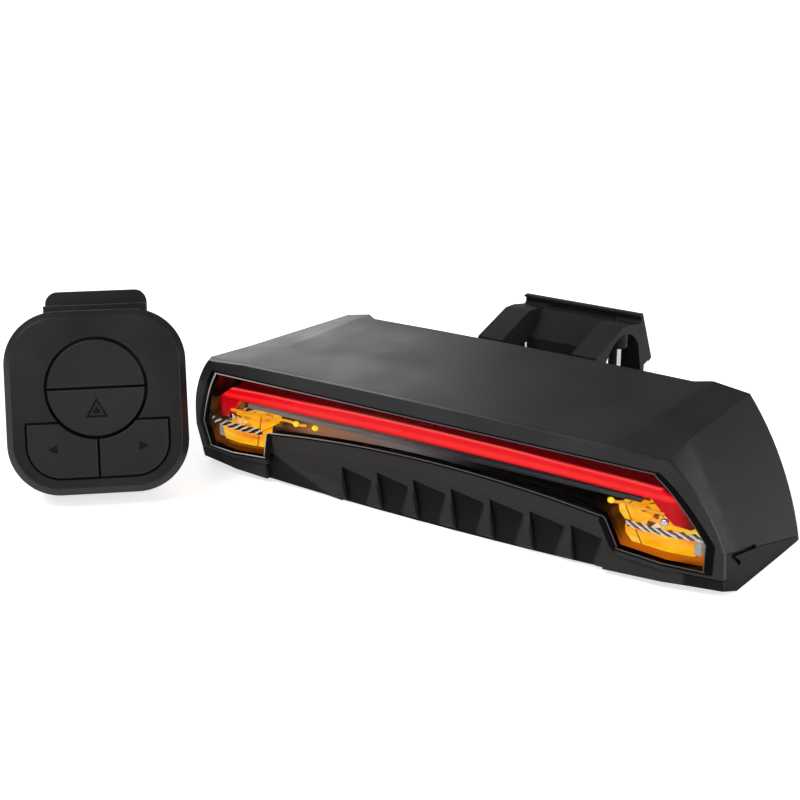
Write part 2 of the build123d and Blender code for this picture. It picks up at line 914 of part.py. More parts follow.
def amber_leds(side):
    """The amber emitters at one end."""
    near = tray_far - led_proud
    return group([led_block(side * x, z, near, tray_far, 0)
                  for place_side, x, z in amber_led_places() if place_side == side])


def led_board():
    """The board behind the tray that carries every emitter."""
    points = [(window_top_half_width - wall, window_top_height - wall),
              (window_wide_half_width - wall * 2, window_wide_height),
              (window_foot_half_width - wall * 2, window_foot_height + wall),
              (chin_end_half_width + tray_wall, chin_end_height + wall),
              (chin_top_half_width, chin_crest_height)]
    points += [(-x, z) for x, z in reversed(points)]
    return front_prism(points, tray_far, tray_far + led_board_thickness, False)


# Inside the body


def body_screws():
    """Four screws that enter from below and draw the shells together."""
    screws = []
    for x, y in boss_places():
        top = screw_head_height + screw_head_inset - fit_gap / 2
        middle = screw_head_inset + screw_head_height / 2
        head = rod(x, y, screw_head_inset, top, screw_head_radius)
        shank = rod(x, y, middle, boss_foot + screw_bite, screw_pilot_radius)
        place = Pos(x, y, screw_head_inset)
        slot = place * Box(screw_slot_length, screw_slot, screw_head_height / 2)
        cross = place * Box(screw_slot, screw_slot_length, screw_head_height / 2)
        screws.append(head + shank - slot - cross)
    return group(screws)


def battery_cell():
    """The flat rechargeable cell that lies on the floor of the lower shell."""
    foot = wall + cell_pad_thickness
    block = Pos(0, cell_y, foot + cell_height / 2) * Box(cell_length, cell_width, cell_height)
    return fillet(block.edges().filter_by(Axis.X), cell_round)


def battery_pad():
    """The foam pad under the cell."""
    sheet = Box(cell_length - cell_round * 2, cell_width - cell_round * 2, cell_pad_thickness)
    return Pos(0, cell_y, wall + cell_pad_thickness / 2) * sheet


def battery_tabs():
    """The two nickel tabs on the cell's right-hand end."""
    x = cell_length / 2 + port_skin / 2
    tabs = []
    for side in (-1, 1):
        y = cell_y + side * cell_tab_width
        tabs.append(Pos(x, y, wall + cell_pad_thickness + cell_height / 2)
                    * Box(port_skin, cell_tab_width, cell_height / 2))
    return group(tabs)


def main_board():
    """The level circuit board that hangs from the roof posts above the cell."""
    middle = (board_front + board_back) / 2
    sheet = Box(board_half_width * 2, board_back - board_front, board_thickness)
    board = Pos(0, middle, board_height + board_thickness / 2) * sheet
    for x, y in board_posts():
        board = board - rod(x, y, 0, crown_height, board_screw_radius + fit_gap)
    return board


def board_screws():
    """The small screws that hold the main board up against its posts."""
    screws = []
    for x, y in board_posts():
        cap = rod(x, y, board_height - board_screw_cap, board_height, board_screw_head)
        shank = rod(x, y, board_height - board_screw_cap / 2, board_height + board_thickness + screw_bite / 2,
                    board_screw_radius)
        screws.append(cap + shank)
    return group(screws)


def on_board(x, y, width, depth, height):
    """A block that stands on the main board."""
    return Pos(x, y, board_height + board_thickness + height / 2) * Box(width, depth, height)


def control_chip():
    """The square controller."""
    return on_board(-chip_width * 3 / 2, board_front + chip_width, chip_width, chip_width, chip_height)


def radio_module():
    """The receiver that hears the remote."""
    return on_board(radio_width, board_front + radio_depth, radio_width, radio_depth, radio_height)


def board_plug():
    """The plug that brings the emitters' leads to the main board."""
    return on_board(0, board_front + plug_depth / 2, plug_width, plug_depth, plug_height)


def port_mouth_y():
    """Depth of the charging socket's mouth, just inside the back wall's outer face."""
    return back_wall_y(port_axis_z() + port_height / 2) - wall / 2


def charging_port():
    """The small steel charging socket at the board's rear edge."""
    mouth = port_mouth_y()
    face = RectangleRounded(port_width, port_height, port_height * corner_share)
    shell = extrude(Plane.XZ * face, port_depth)
    inner = extrude(Plane.XZ * RectangleRounded(port_width - port_skin * 2, port_height - port_skin * 2,
                                                port_inner_corner), port_depth - port_skin)
    tongue = port_depth - port_tongue_inset
    tab = Pos(0, -port_depth + tongue / 2, 0) * Box(port_width / 2, tongue, port_skin)
    return Pos(port_x, mouth, port_axis_z()) * (shell - inner + tab)


def cover_size():
    """Width and height of the charging socket's cover."""
    return port_width + cover_margin * 2, port_height + cover_margin * 2


def port_cover():
    """The rubber flap over the charging socket, hinged along its lower edge."""
    width, height = cover_size()
    flap = rounded_block(width, height, cover_thickness, height * corner_share)
    spare = (port_skin + cover_plug_gap) * 2
    plug = rounded_block(port_width - spare, port_height - spare, cover_plug, cover_plug_corner)
    plug = Pos(0, 0, -cover_plug + fit_gap) * plug
    place = Pos(0, -height / 2, cover_pin_radius + fit_gap) * Rot(0, 90, 0)
    barrel = place * Cylinder(cover_pin_radius, width / 2)
    return back_place(port_x, port_axis_z()) * Pos(0, 0, fit_gap) * (flap + plug + barrel)


def power_button():
    """The rubber-capped button on the back wall, kept in by a flange inside it."""
    reach = wall + button_proud
    cap = rounded_block(button_width, button_height, reach, button_height * corner_share)
    cap = Pos(0, 0, -wall) * cap
    cap = fillet(cap.faces().sort_by(Axis.Z)[-1].edges(), button_round)
    flange = rounded_block(button_width + button_flange * 2, button_height + button_flange * 2,
                           button_flange_thickness, button_height * corner_share)
    flange = Pos(0, 0, -wall - button_flange_thickness - fit_gap) * flange
    neck = rounded_block(button_width, button_height, button_neck, button_height * corner_share)
    neck = Pos(0, 0, -wall - button_neck / 2) * neck
    return back_place(button_x, port_axis_z()) * (cap + flange + neck)


def power_switch():
    """The push switch behind the power button."""
    place = back_place(button_x, port_axis_z())
    front = -wall - fit_gap - button_flange_thickness - button_travel - fit_gap
    plunger = Pos(0, 0, front - plunger_radius / 2) * Cylinder(plunger_radius, plunger_radius)
    tip = place * plunger
    tip_y = tip.center().Y
    middle = tip_y - plunger_radius / 2 - switch_depth / 2
    body = Pos(button_x, middle, board_height + board_thickness + switch_height / 2)
    return body * Box(switch_width, switch_depth, switch_height) + tip


def laser_module(side):
    """A lane-marking laser in its brass barrel."""
    barrel = Pos(0, 0, wall + fit_gap + laser_length / 2) * Cylinder(laser_radius, laser_length)
    cap = Pos(0, 0, wall + fit_gap + laser_length) * Cylinder(laser_radius * 2 / 3, laser_radius / 3)
    mouth = Pos(0, 0, wall) * Cone(laser_radius / 3, laser_radius / 2, laser_radius)
    return laser_place(side) * (barrel + cap - mouth)


def laser_windows():
    """The two clear discs in the underside."""
    discs = []
    for side in (-1, 1):
        z = laser_window_inset + laser_window_thickness / 2
        discs.append(Pos(side * laser_x, laser_y, z) * Cylinder(laser_window_radius, laser_window_thickness))
    return group(discs)


def mount_rail():
    """The upright slotted rail on the back wall, open at its top."""
    tall = rail_top - rail_foot
    reach = rail_back - (back_recess_depth - crown_height * back_lean_share)
    block = Pos(0, rail_back - reach / 2, rail_foot + tall / 2) * Box(rail_half_width * 2, reach, tall)
    block = block - back_limit_block()
    head = tongue_head_thickness + rail_gap * 2
    slot_tall = rail_top - tongue_foot + rail_gap + overrun
    middle = tongue_foot - rail_gap + slot_tall / 2
    head_y = rail_back - rail_lip - head / 2
    block = block - Pos(0, head_y, middle) * Box((tongue_head_half_width + rail_gap) * 2, head, slot_tall)
    block = block - Pos(0, rail_back, middle) * Box((tongue_stem_half_width + rail_gap) * 2,
                                                    (rail_lip + rail_gap) * 2, slot_tall)
    return block


def back_limit_block():
    """The body's own space in the recess of its back wall."""
    tilt = atan(back_lean_share)
    place = Plane(origin=(0, back_recess_depth, crown_height), x_dir=(1, 0, 0),
                  z_dir=(0, -cos(tilt), sin(tilt)))
    return place * Pos(0, 0, far_reach / 2 - fit_gap / 4) * Box(far_reach, far_reach, far_reach)


# Bracket


def side_profile(points, x_low, x_high):
    """A piece of the bracket from its outline seen from the side."""
    face = make_face(Polyline(*[(0, y, z) for y, z in points], close=True))
    return Pos(x_low, 0, 0) * extrude(face, x_high - x_low, dir=(1, 0, 0))


def plate_frame():
    """Frame on the saddle plate's rear face at its top: y runs down the plate, z out of it."""
    tilt = radians(post_tilt)
    return Plane(origin=(0, plate_top_y, plate_top_height), x_dir=(-1, 0, 0), z_dir=(0, cos(tilt), sin(tilt)))


def post_space(radius):
    """The seat post that the bracket is strapped against."""
    out = pad_thickness + post_radius
    return plate_frame() * Pos(0, 0, out) * Rot(90, 0, 0) * Cylinder(radius, far_reach / 2)


def plate_foot():
    """Depth and height of the saddle plate's lower edge."""
    tilt = radians(post_tilt)
    return plate_top_y + plate_length * sin(tilt), plate_top_height - plate_length * cos(tilt)


def arch_opening(x_low, x_high, top):
    """The arched opening through an ear, up to a height."""
    spring = (0, arch_front, arch_spring_height)
    crown = (0, (arch_front + arch_back) / 2, arch_crown_height)
    low = bracket_bed - overrun
    edges = Polyline((0, arch_front, low), spring)
    edges = edges + ThreePointArc(spring, crown, (0, arch_back, arch_spring_height))
    edges = edges + Polyline((0, arch_back, arch_spring_height), (0, arch_foot_back, arch_foot_height),
                             (0, arch_foot_back, low), (0, arch_front, low))
    opening = Pos(x_low, 0, 0) * extrude(make_face(edges), x_high - x_low, dir=(1, 0, 0))
    return opening - above_floor(top)


def bracket_ear():
    """The right-hand ear with its arch, the thin panel inside the arch and the screw's boss."""
    foot_y, foot_z = plate_foot()
    outline = [(ear_front, bracket_bed), (ear_front, ear_front_height),
               (ear_peak_y - ear_peak_length / 2, ear_peak_height),
               (ear_peak_y + ear_peak_length / 2, ear_peak_height - ear_peak_fall),
               (plate_top_y - plate_thickness, plate_top_height - lip_groove_height * 2),
               (plate_top_y, plate_top_height - lip_groove_height), (foot_y, foot_z),
               (ear_back, arch_foot_height), (ear_back, bracket_bed)]
    inner = bracket_half_width - ear_width
    ear = side_profile(outline, inner, bracket_half_width)
    outside = bracket_half_width + overrun
    ear = ear - arch_opening(inner - overrun, outside, ear_panel_foot)
    ear = ear - arch_opening(inner + ear_panel_thickness, outside, crown_height + overrun)
    boss_top = arch_crown_height + overrun / 2
    boss = rod(clamp_screw_x, clamp_screw_y, clamp_boss_foot, boss_top, clamp_boss_radius)
    return ear + boss - rod(clamp_screw_x, clamp_screw_y, bracket_bed, clamp_screw_top + fit_gap,
                            clamp_screw_radius + fit_gap / 2)


def bracket_yoke():
    """The upper half of the bracket: two arched ears, the web between them and the saddle plate."""
    inner = bracket_half_width - ear_width
    tilt = radians(post_tilt)
    plate_front = plate_top_y - plate_thickness / cos(tilt)
    web_end = plate_front + overrun / 2
    web = [(web_front, web_foot_height), (web_front, web_front_height), (web_back, web_back_height),
           (web_end, web_back_height), (web_end, web_back_height - web_thickness),
           (web_back + web_thickness / 2, web_back_height - web_thickness),
           (web_front + web_thickness, web_front_height - web_thickness / 2),
           (web_front + web_thickness, web_foot_height)]
    web = side_profile(web, -inner, inner)
    plate = Box(bracket_half_width * 2, plate_length, plate_thickness)
    plate = plate_frame() * Pos(0, -plate_length / 2, -plate_thickness / 2) * plate
    cap = side_profile([(plate_front, plate_top_height - plate_thickness), (plate_front, plate_top_height),
                        (plate_top_y, plate_top_height), (plate_top_y, plate_top_height - plate_thickness)],
                       -bracket_half_width, bracket_half_width)
    ear = bracket_ear()
    form = fuse_all([*ear.solids(), *mirrored_x(ear).solids(), web, plate, cap])
    groove_top = plate_top_height - lip_thickness
    groove = side_profile([(plate_front - overrun, groove_top), (plate_front + lip_groove_depth, groove_top),
                           (plate_front + lip_groove_depth, groove_top - lip_groove_height),
                           (plate_front - overrun, groove_top - lip_groove_height)],
                          -bracket_half_width - overrun, bracket_half_width + overrun)
    return form - groove


def fuse_all(pieces):
    """Joins a list of touching solids into one."""
    first = pieces[0]
    return first.fuse(*pieces[1:]).clean()


def bracket_base():
    """The lower half of the bracket, with the tongue that slides in the rail."""
    front = rail_back + base_front_gap
    block = Pos(0, (front + bracket_tail) / 2, (bracket_foot + bracket_bed) / 2) * Box(
        bracket_half_width * 2, bracket_tail - front, bracket_bed - bracket_foot)
    tall = tongue_top - tongue_foot
    z = tongue_foot + tall / 2
    plate = Box(base_plate_half_width * 2, base_plate_thickness, tall)
    plate = Pos(0, front + base_plate_thickness / 2, z) * plate
    stem_reach = rail_lip + rail_gap + base_front_gap + base_plate_thickness / 2
    stem = Box(tongue_stem_half_width * 2, stem_reach, tall)
    stem = Pos(0, front + (base_plate_thickness - stem_reach) / 2, z) * stem
    head_y = rail_back - rail_lip - rail_gap - tongue_head_thickness / 2
    head = Pos(0, head_y, z) * Box(tongue_head_half_width * 2, tongue_head_thickness, tall)
    form = fuse_all([block, plate, stem, head])
    form = form - post_space(post_radius)
    for side in (-1, 1):
        x = side * clamp_screw_x
        form = form - rod(x, clamp_screw_y, 0, crown_height, clamp_screw_radius + fit_gap / 2)
        form = form - rod(x, clamp_screw_y, 0, bracket_foot + clamp_screw_head_height + fit_gap,
                          clamp_screw_head_radius + fit_gap)
    return form


def clamp_screws():
    """The two bright upright screws that tie the yoke to the base."""
    screws = []
    for side in (-1, 1):
        x = side * clamp_screw_x
        top = bracket_foot + clamp_screw_head_height
        head = rod(x, clamp_screw_y, bracket_foot, top, clamp_screw_head_radius)
        middle = bracket_foot + clamp_screw_head_height / 2
        shank = rod(x, clamp_screw_y, middle, clamp_screw_top, clamp_screw_radius)
        socket = extrude(Pos(x, clamp_screw_y, bracket_foot) * RegularPolygon(clamp_screw_radius, 6),
                         clamp_screw_head_height / 2)
        screws.append(head + shank - socket)
    return group(screws)


def saddle_pad():
    """The rubber pad between the saddle plate and the post."""
    thick = pad_thickness + post_radius - sqrt(post_radius ** 2 - pad_half_width ** 2)
    middle = -plate_length + pad_length / 2 + fit_gap
    block = Pos(0, middle, thick / 2 + fit_gap / 4) * Box(pad_half_width * 2, pad_length, thick)
    return plate_frame() * block - post_space(post_radius)


# Remote

remote_depth = remote_front_thickness + remote_back_thickness


def remote_place():
    """Frame of the remote's face, leaning back so that it rests on its lower rear edge and its hook."""
    lean = radians(remote_lean)
    turn = radians(remote_turn)
    height = remote_rest_height()
    out = (sin(turn) * cos(lean), -cos(turn) * cos(lean), sin(lean))
    return Plane(origin=(remote_x, remote_y, height), x_dir=(cos(turn), sin(turn), 0), z_dir=out)


def remote_rest_height():
    """Height of the face's centre when the rounded lower rear edge touches the floor."""
    lean = radians(remote_lean)
    up = remote_height / 2 - remote_rear_round
    back = remote_depth - remote_rear_round
    return up * cos(lean) + back * sin(lean) + remote_rear_round


def case_outline(inset):
    """The remote's rounded square outline."""
    return RectangleRounded(remote_width - inset * 2, remote_height - inset * 2, remote_corner - inset)


def layer(sketch, low, high):
    """A flat piece between two levels of the remote's own axis."""
    return Pos(0, 0, low) * extrude(sketch, high - low)


def disc_sketch(radius):
    """The round opening or the disc in it."""
    return Pos(0, disc_rise, 0) * Circle(radius)


def key_sketch(margin):
    """Both lower keys as one outline, with large lower corners."""
    width = (key_half_width + margin) * 2
    top = key_top + margin
    foot = key_foot - margin
    sheet = Pos(0, top, 0) * RectangleRounded(width, (top - foot) * 2, key_corner + margin)
    return sheet & half_plane(-width, width, foot - overrun, top)


def half_plane(x_low, x_high, y_low, y_high):
    """A plain rectangle that trims the keys."""
    return Pos((x_low + x_high) / 2, (y_low + y_high) / 2, 0) * Rectangle(x_high - x_low, y_high - y_low)


def key_halves():
    """The trimming rectangle of each key by its name."""
    gap = disc_split / 2
    reach = remote_width
    return {"upper_disc_key": half_plane(-reach, reach, disc_rise + gap, reach),
            "lower_disc_key": half_plane(-reach, reach, -reach, disc_rise - gap),
            "left_turn_key": half_plane(-reach, -gap, -reach, reach),
            "right_turn_key": half_plane(gap, reach, -reach, reach)}


def arrow_sketch(side):
    """A plain arrowhead pointing outwards."""
    tip = (side * (arrow_offset + arrow_length / 2), arrow_rise)
    base = side * (arrow_offset - arrow_length / 2)
    top, foot = arrow_rise + arrow_half_height, arrow_rise - arrow_half_height
    return make_face(Polyline(tip, (base, top), (base, foot), close=True))


def sign_sketch():
    """A plain hazard triangle outline with a smaller one inside."""
    outer = Pos(0, sign_rise, 0) * Rot(0, 0, 90) * RegularPolygon(sign_radius, 3)
    inner = Pos(0, sign_rise, 0) * Rot(0, 0, 90) * RegularPolygon(sign_radius - sign_stroke * 2, 3)
    core = Pos(0, sign_rise, 0) * Rot(0, 0, 90) * RegularPolygon(sign_core_radius, 3)
    return outer - inner + core


def remote_key(name):
    """One key: its cap, its flange under the skin and its sunken mark."""
    trim = key_halves()[name]
    round_key = name in ("upper_disc_key", "lower_disc_key")
    if round_key:
        cap = disc_sketch(disc_radius) & trim
        covered = half_plane(-remote_width, remote_width, disc_rise - key_ear_drop, remote_height)
        flange = disc_sketch(disc_radius) + (disc_sketch(disc_radius + disc_groove + key_flange) & covered)
        flange = flange & trim
    else:
        clear = disc_sketch(disc_radius + disc_groove)
        cap = (key_sketch(-key_groove / 2) & trim) - clear
        flange = (key_sketch(key_flange) & trim) - clear
    under = -remote_skin - key_flange_gap
    floor = under - key_flange_thickness
    form = layer(cap, -key_overhang, key_proud)
    form = fillet(form.faces().sort_by(Axis.Z)[-1].edges(), key_edge_round)
    form = form + layer(cap & flange, under - key_flange_thickness / 2, -key_overhang)
    form = form + layer(flange, floor, under)
    dome_top = -membrane_depth - membrane_thickness + dome_height
    place = dome_places()[list(key_halves()).index(name)]
    nub = Pos(*place, 0) * Circle(key_nub_radius)
    form = form + layer(nub, dome_top + key_travel + key_nub_gap, floor + key_flange_thickness / 2)
    if name == "lower_disc_key":
        form = form - layer(sign_sketch(), key_proud - mark_depth, key_proud + overrun)
    if not round_key:
        side = -1 if name == "left_turn_key" else 1
        form = form - layer(arrow_sketch(side), key_proud - mark_depth, key_proud + overrun)
    return form


def remote_boss_places():
    """Where the four small case screws stand."""
    return [(x, y) for x in (-remote_boss_x, remote_boss_x) for y in (-remote_boss_y, remote_boss_y)]


def remote_front_case():
    """The remote's face with the key openings and its bevelled rim."""
    form = layer(case_outline(0), -remote_front_thickness, 0)
    form = chamfer(form.faces().sort_by(Axis.Z)[-1].edges(), remote_rim_chamfer)
    form = form - layer(case_outline(remote_wall), -remote_front_thickness - overrun, -remote_skin)
    form = form - layer(disc_sketch(disc_radius + disc_groove), -remote_skin - overrun, overrun)
    form = form - layer(key_sketch(key_groove / 2), -remote_skin - overrun, overrun)
    top = -membrane_depth - membrane_thickness - remote_board_thickness
    for x, y in remote_boss_places():
        boss = Pos(x, y, 0) * Circle(remote_boss_radius)
        form = form + layer(boss, -remote_front_thickness, top - board_gap)
        walls = case_outline(remote_wall / 2) - case_outline(remote_wall + remote_boss_radius)
        place = Pos(x * rib_reach_share, y * rib_reach_share, 0) * Rot(0, 0, degrees(atan(y / x)))
        rib = walls & (place * Rectangle(remote_rib_length, remote_boss_radius))
        form = form + layer(rib, -remote_front_thickness, top - board_gap)
    for x, y in remote_boss_places():
        hole = Pos(x, y, 0) * Circle(remote_screw_radius)
        form = form - layer(hole, -remote_front_thickness - overrun, top + overrun)
    return form


def remote_back_case():
    """The remote's rear tray."""
    low = -remote_depth
    rim = -remote_front_thickness - parting_gap / 2
    form = layer(case_outline(0), low, rim)
    form = fillet(form.faces().sort_by(Axis.Z)[0].edges(), remote_rear_round)
    room = layer(case_outline(remote_wall), low + remote_wall, -remote_front_thickness + overrun)
    form = form - room
    for x, y in remote_boss_places():
        form = form + layer(Pos(x, y, 0) * Circle(remote_boss_radius), low + remote_wall / 2, rim)
    for x, y in remote_boss_places():
        form = form - layer(Pos(x, y, 0) * Circle(remote_screw_radius + fit_gap), low - overrun, overrun)
        seat = Pos(x, y, 0) * Circle(remote_screw_head + fit_gap)
        form = form - layer(seat, low - overrun, low + remote_screw_cap)
    return form


def remote_screws():
    """Four small screws from the rear."""
    screws = []
    for x, y in remote_boss_places():
        low = -remote_depth
        disc = Pos(x, y, 0) * Circle(remote_screw_head)
        cap = layer(disc, low + fit_gap / 2, low + remote_screw_cap - board_gap)
        top = -membrane_depth - membrane_thickness - remote_board_thickness - fit_gap
        shank = layer(Pos(x, y, 0) * Circle(remote_screw_radius), low + remote_screw_cap / 2, top)
        screws.append(cap + shank)
    return group(screws)


def dome_places():
    """Where each key presses."""
    side = (key_half_width + disc_split) / 2
    low = arrow_rise - arrow_length / 2
    return [(0, disc_rise + disc_radius / 2), (0, disc_rise - disc_radius / 2), (-side, low), (side, low)]


def keypad_membrane():
    """The thin rubber sheet between the keys and the board."""
    sheet = case_outline(remote_wall + remote_inner_gap)
    for x, y in dome_places():
        sheet = sheet - Pos(x, y, 0) * Circle(dome_radius + fit_gap)
    return layer(sheet, -membrane_depth - membrane_thickness, -membrane_depth)


def key_domes():
    """The four snap domes on the board."""
    foot = -membrane_depth - membrane_thickness
    discs = [Pos(x, y, 0) * Circle(dome_radius) for x, y in dome_places()]
    return group([layer(disc, foot, foot + dome_height) for disc in discs])


def remote_board():
    """The remote's circuit board."""
    top = -membrane_depth - membrane_thickness
    return layer(case_outline(remote_wall + remote_inner_gap), top - remote_board_thickness, top)


def remote_board_foot():
    """Level of the board's rear face."""
    return -membrane_depth - membrane_thickness - remote_board_thickness


def coin_holder():
    """The plastic ring around the coin cell, fixed to the board."""
    top = remote_board_foot()
    ring = Circle(coin_radius + coin_gap + coin_ring_wall) - Circle(coin_radius + coin_gap)
    for x, y in remote_boss_places():
        ring = ring - Pos(x, y, 0) * Circle(remote_boss_radius + fit_gap)
    return layer(ring, top - coin_thickness, top)


def coin_cell():
    """The flat coin cell."""
    top = remote_board_foot() - coin_gap
    form = layer(Circle(coin_radius), top - coin_thickness, top)
    return chamfer(form.edges().filter_by(GeomType.CIRCLE), coin_gap)


def coin_clip():
    """The spring steel strap across the coin cell."""
    top = remote_board_foot() - coin_gap - coin_thickness
    strap = Rectangle((coin_radius + coin_gap + coin_ring_wall) * 2, coin_clip_width)
    return layer(strap, top - coin_clip_thickness, top)


def remote_chip_form():
    """The sender chip in a corner of the board's rear face."""
    top = remote_board_foot()
    rise = coin_radius + coin_ring_wall + coin_gap + remote_chip / 2
    outline = Pos(0, -rise, 0) * Rectangle(remote_chip * 2, remote_chip / 2)
    return layer(outline, top - remote_chip_height, top)


def hook_foot():
    """How far down the hook reaches so that its rounded tip touches the floor."""
    lean = radians(remote_lean)
    back = remote_depth + mount_block_thickness + hook_reach
    spare = remote_rest_height() - (back - hook_round) * sin(lean) - hook_round
    return -(spare / cos(lean) + hook_round)


def mount_strip(low, high):
    """A strip across the saddle between two heights."""
    return half_plane(-mount_half_width, mount_half_width, low, high)


def strap_mount():
    """The saddle behind the remote with a hook at each end for the strap ring."""
    near = -remote_depth
    far = near - mount_block_thickness
    block = layer(Rectangle(mount_half_width * 2, mount_block_half_height * 2), far, near)
    axis = near - mount_web - bar_radius
    block = block - Pos(0, 0, axis) * Rot(0, 90, 0) * Cylinder(bar_radius, remote_width)
    band_foot = mount_block_half_height - hook_neck_thickness
    band = layer(mount_strip(band_foot, hook_band_top), near - mount_web, near)
    neck = layer(mount_strip(hook_neck_top - hook_neck_drop, hook_neck_top), far, near)
    lip = layer(mount_strip(hook_neck_top - hook_neck_drop, hook_top), far - hook_reach, far)
    lip = fillet(lip.edges().filter_by(Axis.Z).group_by(Axis.Y)[-1], hook_lip)
    low_top = hook_neck_thickness - mount_block_half_height
    low_neck = layer(mount_strip(hook_foot() + hook_neck_thickness, low_top), far, near - mount_web)
    low_lip = layer(mount_strip(hook_foot(), low_top + hook_neck_thickness), far - hook_reach, far)
    low_lip = fillet(low_lip.edges().filter_by(Axis.X), hook_round)
    return fuse_all([block, band, neck, lip, low_neck, low_lip])


def mount_pad():
    """The rubber lining of the remote's saddle."""
    near = -remote_depth
    axis = near - mount_web - bar_radius
    ring = Circle(bar_radius - board_gap) - Circle(bar_radius - mount_pad_thickness)
    form = Pos(0, 0, axis) * Rot(0, 90, 0) * extrude(ring, mount_half_width - hook_round, both=True)
    trim = Box(remote_width, mount_pad_half_height * 2, mount_block_thickness)
    return form & (Pos(0, 0, near - mount_block_thickness / 2) * trim)


def light_pieces():
    """Every piece of the light by its node's name."""
    amber_upper = (amber_upper_in, amber_upper_out, amber_upper_top, amber_upper_height)
    amber_lower = (amber_lower_in, amber_lower_out, amber_lower_top, amber_lower_height)
    return {
        "top_shell": top_shell(),
        "bottom_shell": bottom_shell(),
        "front_bezel": front_bezel(),
        "front_lens": front_lens(),
        "reflector_tray": reflector_tray(),
        "red_light_guide": red_light_guide(),
        "divider_trim": divider_trim(),
        "left_amber_upper_guide": amber_guide(-1, *amber_upper),
        "right_amber_upper_guide": amber_guide(1, *amber_upper),
        "left_amber_lower_guide": amber_guide(-1, *amber_lower),
        "right_amber_lower_guide": amber_guide(1, *amber_lower),
        "red_leds": red_leds(),
        "left_amber_leds": amber_leds(-1),
        "right_amber_leds": amber_leds(1),
        "led_board": led_board(),
        "body_screws": body_screws(),
        "battery_cell": battery_cell(),
        "battery_pad": battery_pad(),
        "battery_tabs": battery_tabs(),
        "main_board": main_board(),
        "board_screws": board_screws(),
        "control_chip": control_chip(),
        "radio_module": radio_module(),
        "board_plug": board_plug(),
        "charging_port": charging_port(),
        "port_cover": port_cover(),
        "power_button": power_button(),
        "power_switch": power_switch(),
        "left_laser": laser_module(-1),
        "right_laser": laser_module(1),
        "laser_windows": laser_windows(),
        "mount_rail": mount_rail(),
        "bracket_yoke": bracket_yoke(),
        "bracket_base": bracket_base(),
        "clamp_screws": clamp_screws(),
        "saddle_pad": saddle_pad(),
    }


def remote_pieces():
    """Every piece of the remote by its node's name, in the remote's own axes."""
    pieces = {
        "remote_front_case": remote_front_case(),
        "remote_back_case": remote_back_case(),
        "remote_screws": remote_screws(),
        "keypad_membrane": keypad_membrane(),
        "key_domes": key_domes(),
        "remote_board": remote_board(),
        "remote_chip": remote_chip_form(),
        "coin_holder": coin_holder(),
        "coin_cell": coin_cell(),
        "coin_clip": coin_clip(),
        "strap_mount": strap_mount(),
        "mount_pad": mount_pad(),
    }
    for name in key_halves():
        pieces[name] = remote_key(name)
    return pieces


def write(name, piece, place):
    """Puts a piece in its place and writes its file."""
    solids = [place * solid for solid in piece.solids()]
    form = solids[0] if len(solids) == 1 else Compound(children=solids)
    export_step(form, f"parts/{name}.step")


def main():
    """Writes one file for each piece, with the origin under the middle of the light."""
    os.makedirs("parts", exist_ok=True)
    to_origin = Location((0, -origin_depth, 0))
    for name, piece in light_pieces().items():
        write(name, piece, to_origin)
    stand = to_origin * remote_place().location
    for name, piece in remote_pieces().items():
        write(name, piece, stand)


main()
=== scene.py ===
# %% [markdown]
# # A bicycle rear light with turn signals
#
# This lesson dresses a finished solid model in Blender. The solids come from a packed
# frame: every part already has its right size and place, in metres, with the light's
# flat underside on the floor. What is added here is what solids can't show: rounded
# edges, a thin curved window, the trim around it, small optical parts, finishes, the
# glow behind the window, light and a camera.

import json
import math

import bmesh
import bpy
import numpy as np
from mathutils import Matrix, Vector


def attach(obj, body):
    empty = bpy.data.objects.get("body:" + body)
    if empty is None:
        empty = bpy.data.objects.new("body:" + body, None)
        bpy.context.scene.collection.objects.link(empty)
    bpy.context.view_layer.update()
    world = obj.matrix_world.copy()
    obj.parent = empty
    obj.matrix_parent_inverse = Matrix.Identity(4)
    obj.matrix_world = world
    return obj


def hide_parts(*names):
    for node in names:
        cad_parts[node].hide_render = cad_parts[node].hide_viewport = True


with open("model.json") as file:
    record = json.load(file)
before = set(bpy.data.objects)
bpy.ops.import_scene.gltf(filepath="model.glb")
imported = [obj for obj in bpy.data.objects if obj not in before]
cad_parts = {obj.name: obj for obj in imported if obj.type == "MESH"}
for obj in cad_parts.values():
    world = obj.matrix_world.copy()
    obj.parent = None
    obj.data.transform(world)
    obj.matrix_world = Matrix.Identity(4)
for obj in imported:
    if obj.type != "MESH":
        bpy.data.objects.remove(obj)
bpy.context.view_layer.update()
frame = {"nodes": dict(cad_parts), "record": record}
nodes = frame["nodes"]
MM = 0.001
slot_of = {part["node"]: part["material_slot"] for part in frame["record"]["subparts"]}
body_of = {}
for body, members in frame["record"]["behaviour"]["bodies"].items():
    for member in members:
        body_of[member] = body
print("parts in the frame:", len(nodes), "bodies:", len(set(body_of.values())))

# %% [markdown]
# ## A small kit for materials
#
# Every finish below is a few nodes around one shader. Numbers that are the same all over
# a surface sit on the shader itself. Only what changes over the surface is wired: colour
# patches, brushed streaks, the grain of a spark-textured mould. All patterns read object
# coordinates, which are metres here, so a grain keeps its real size on every part. Nearly
# all values of a noise lie between 0.3 and 0.7, so tones and numbers are spread over
# that span.

# %% Node helpers
NOISE_SPAN = (0.3, 0.7)
BLACK = (0.0, 0.0, 0.0)


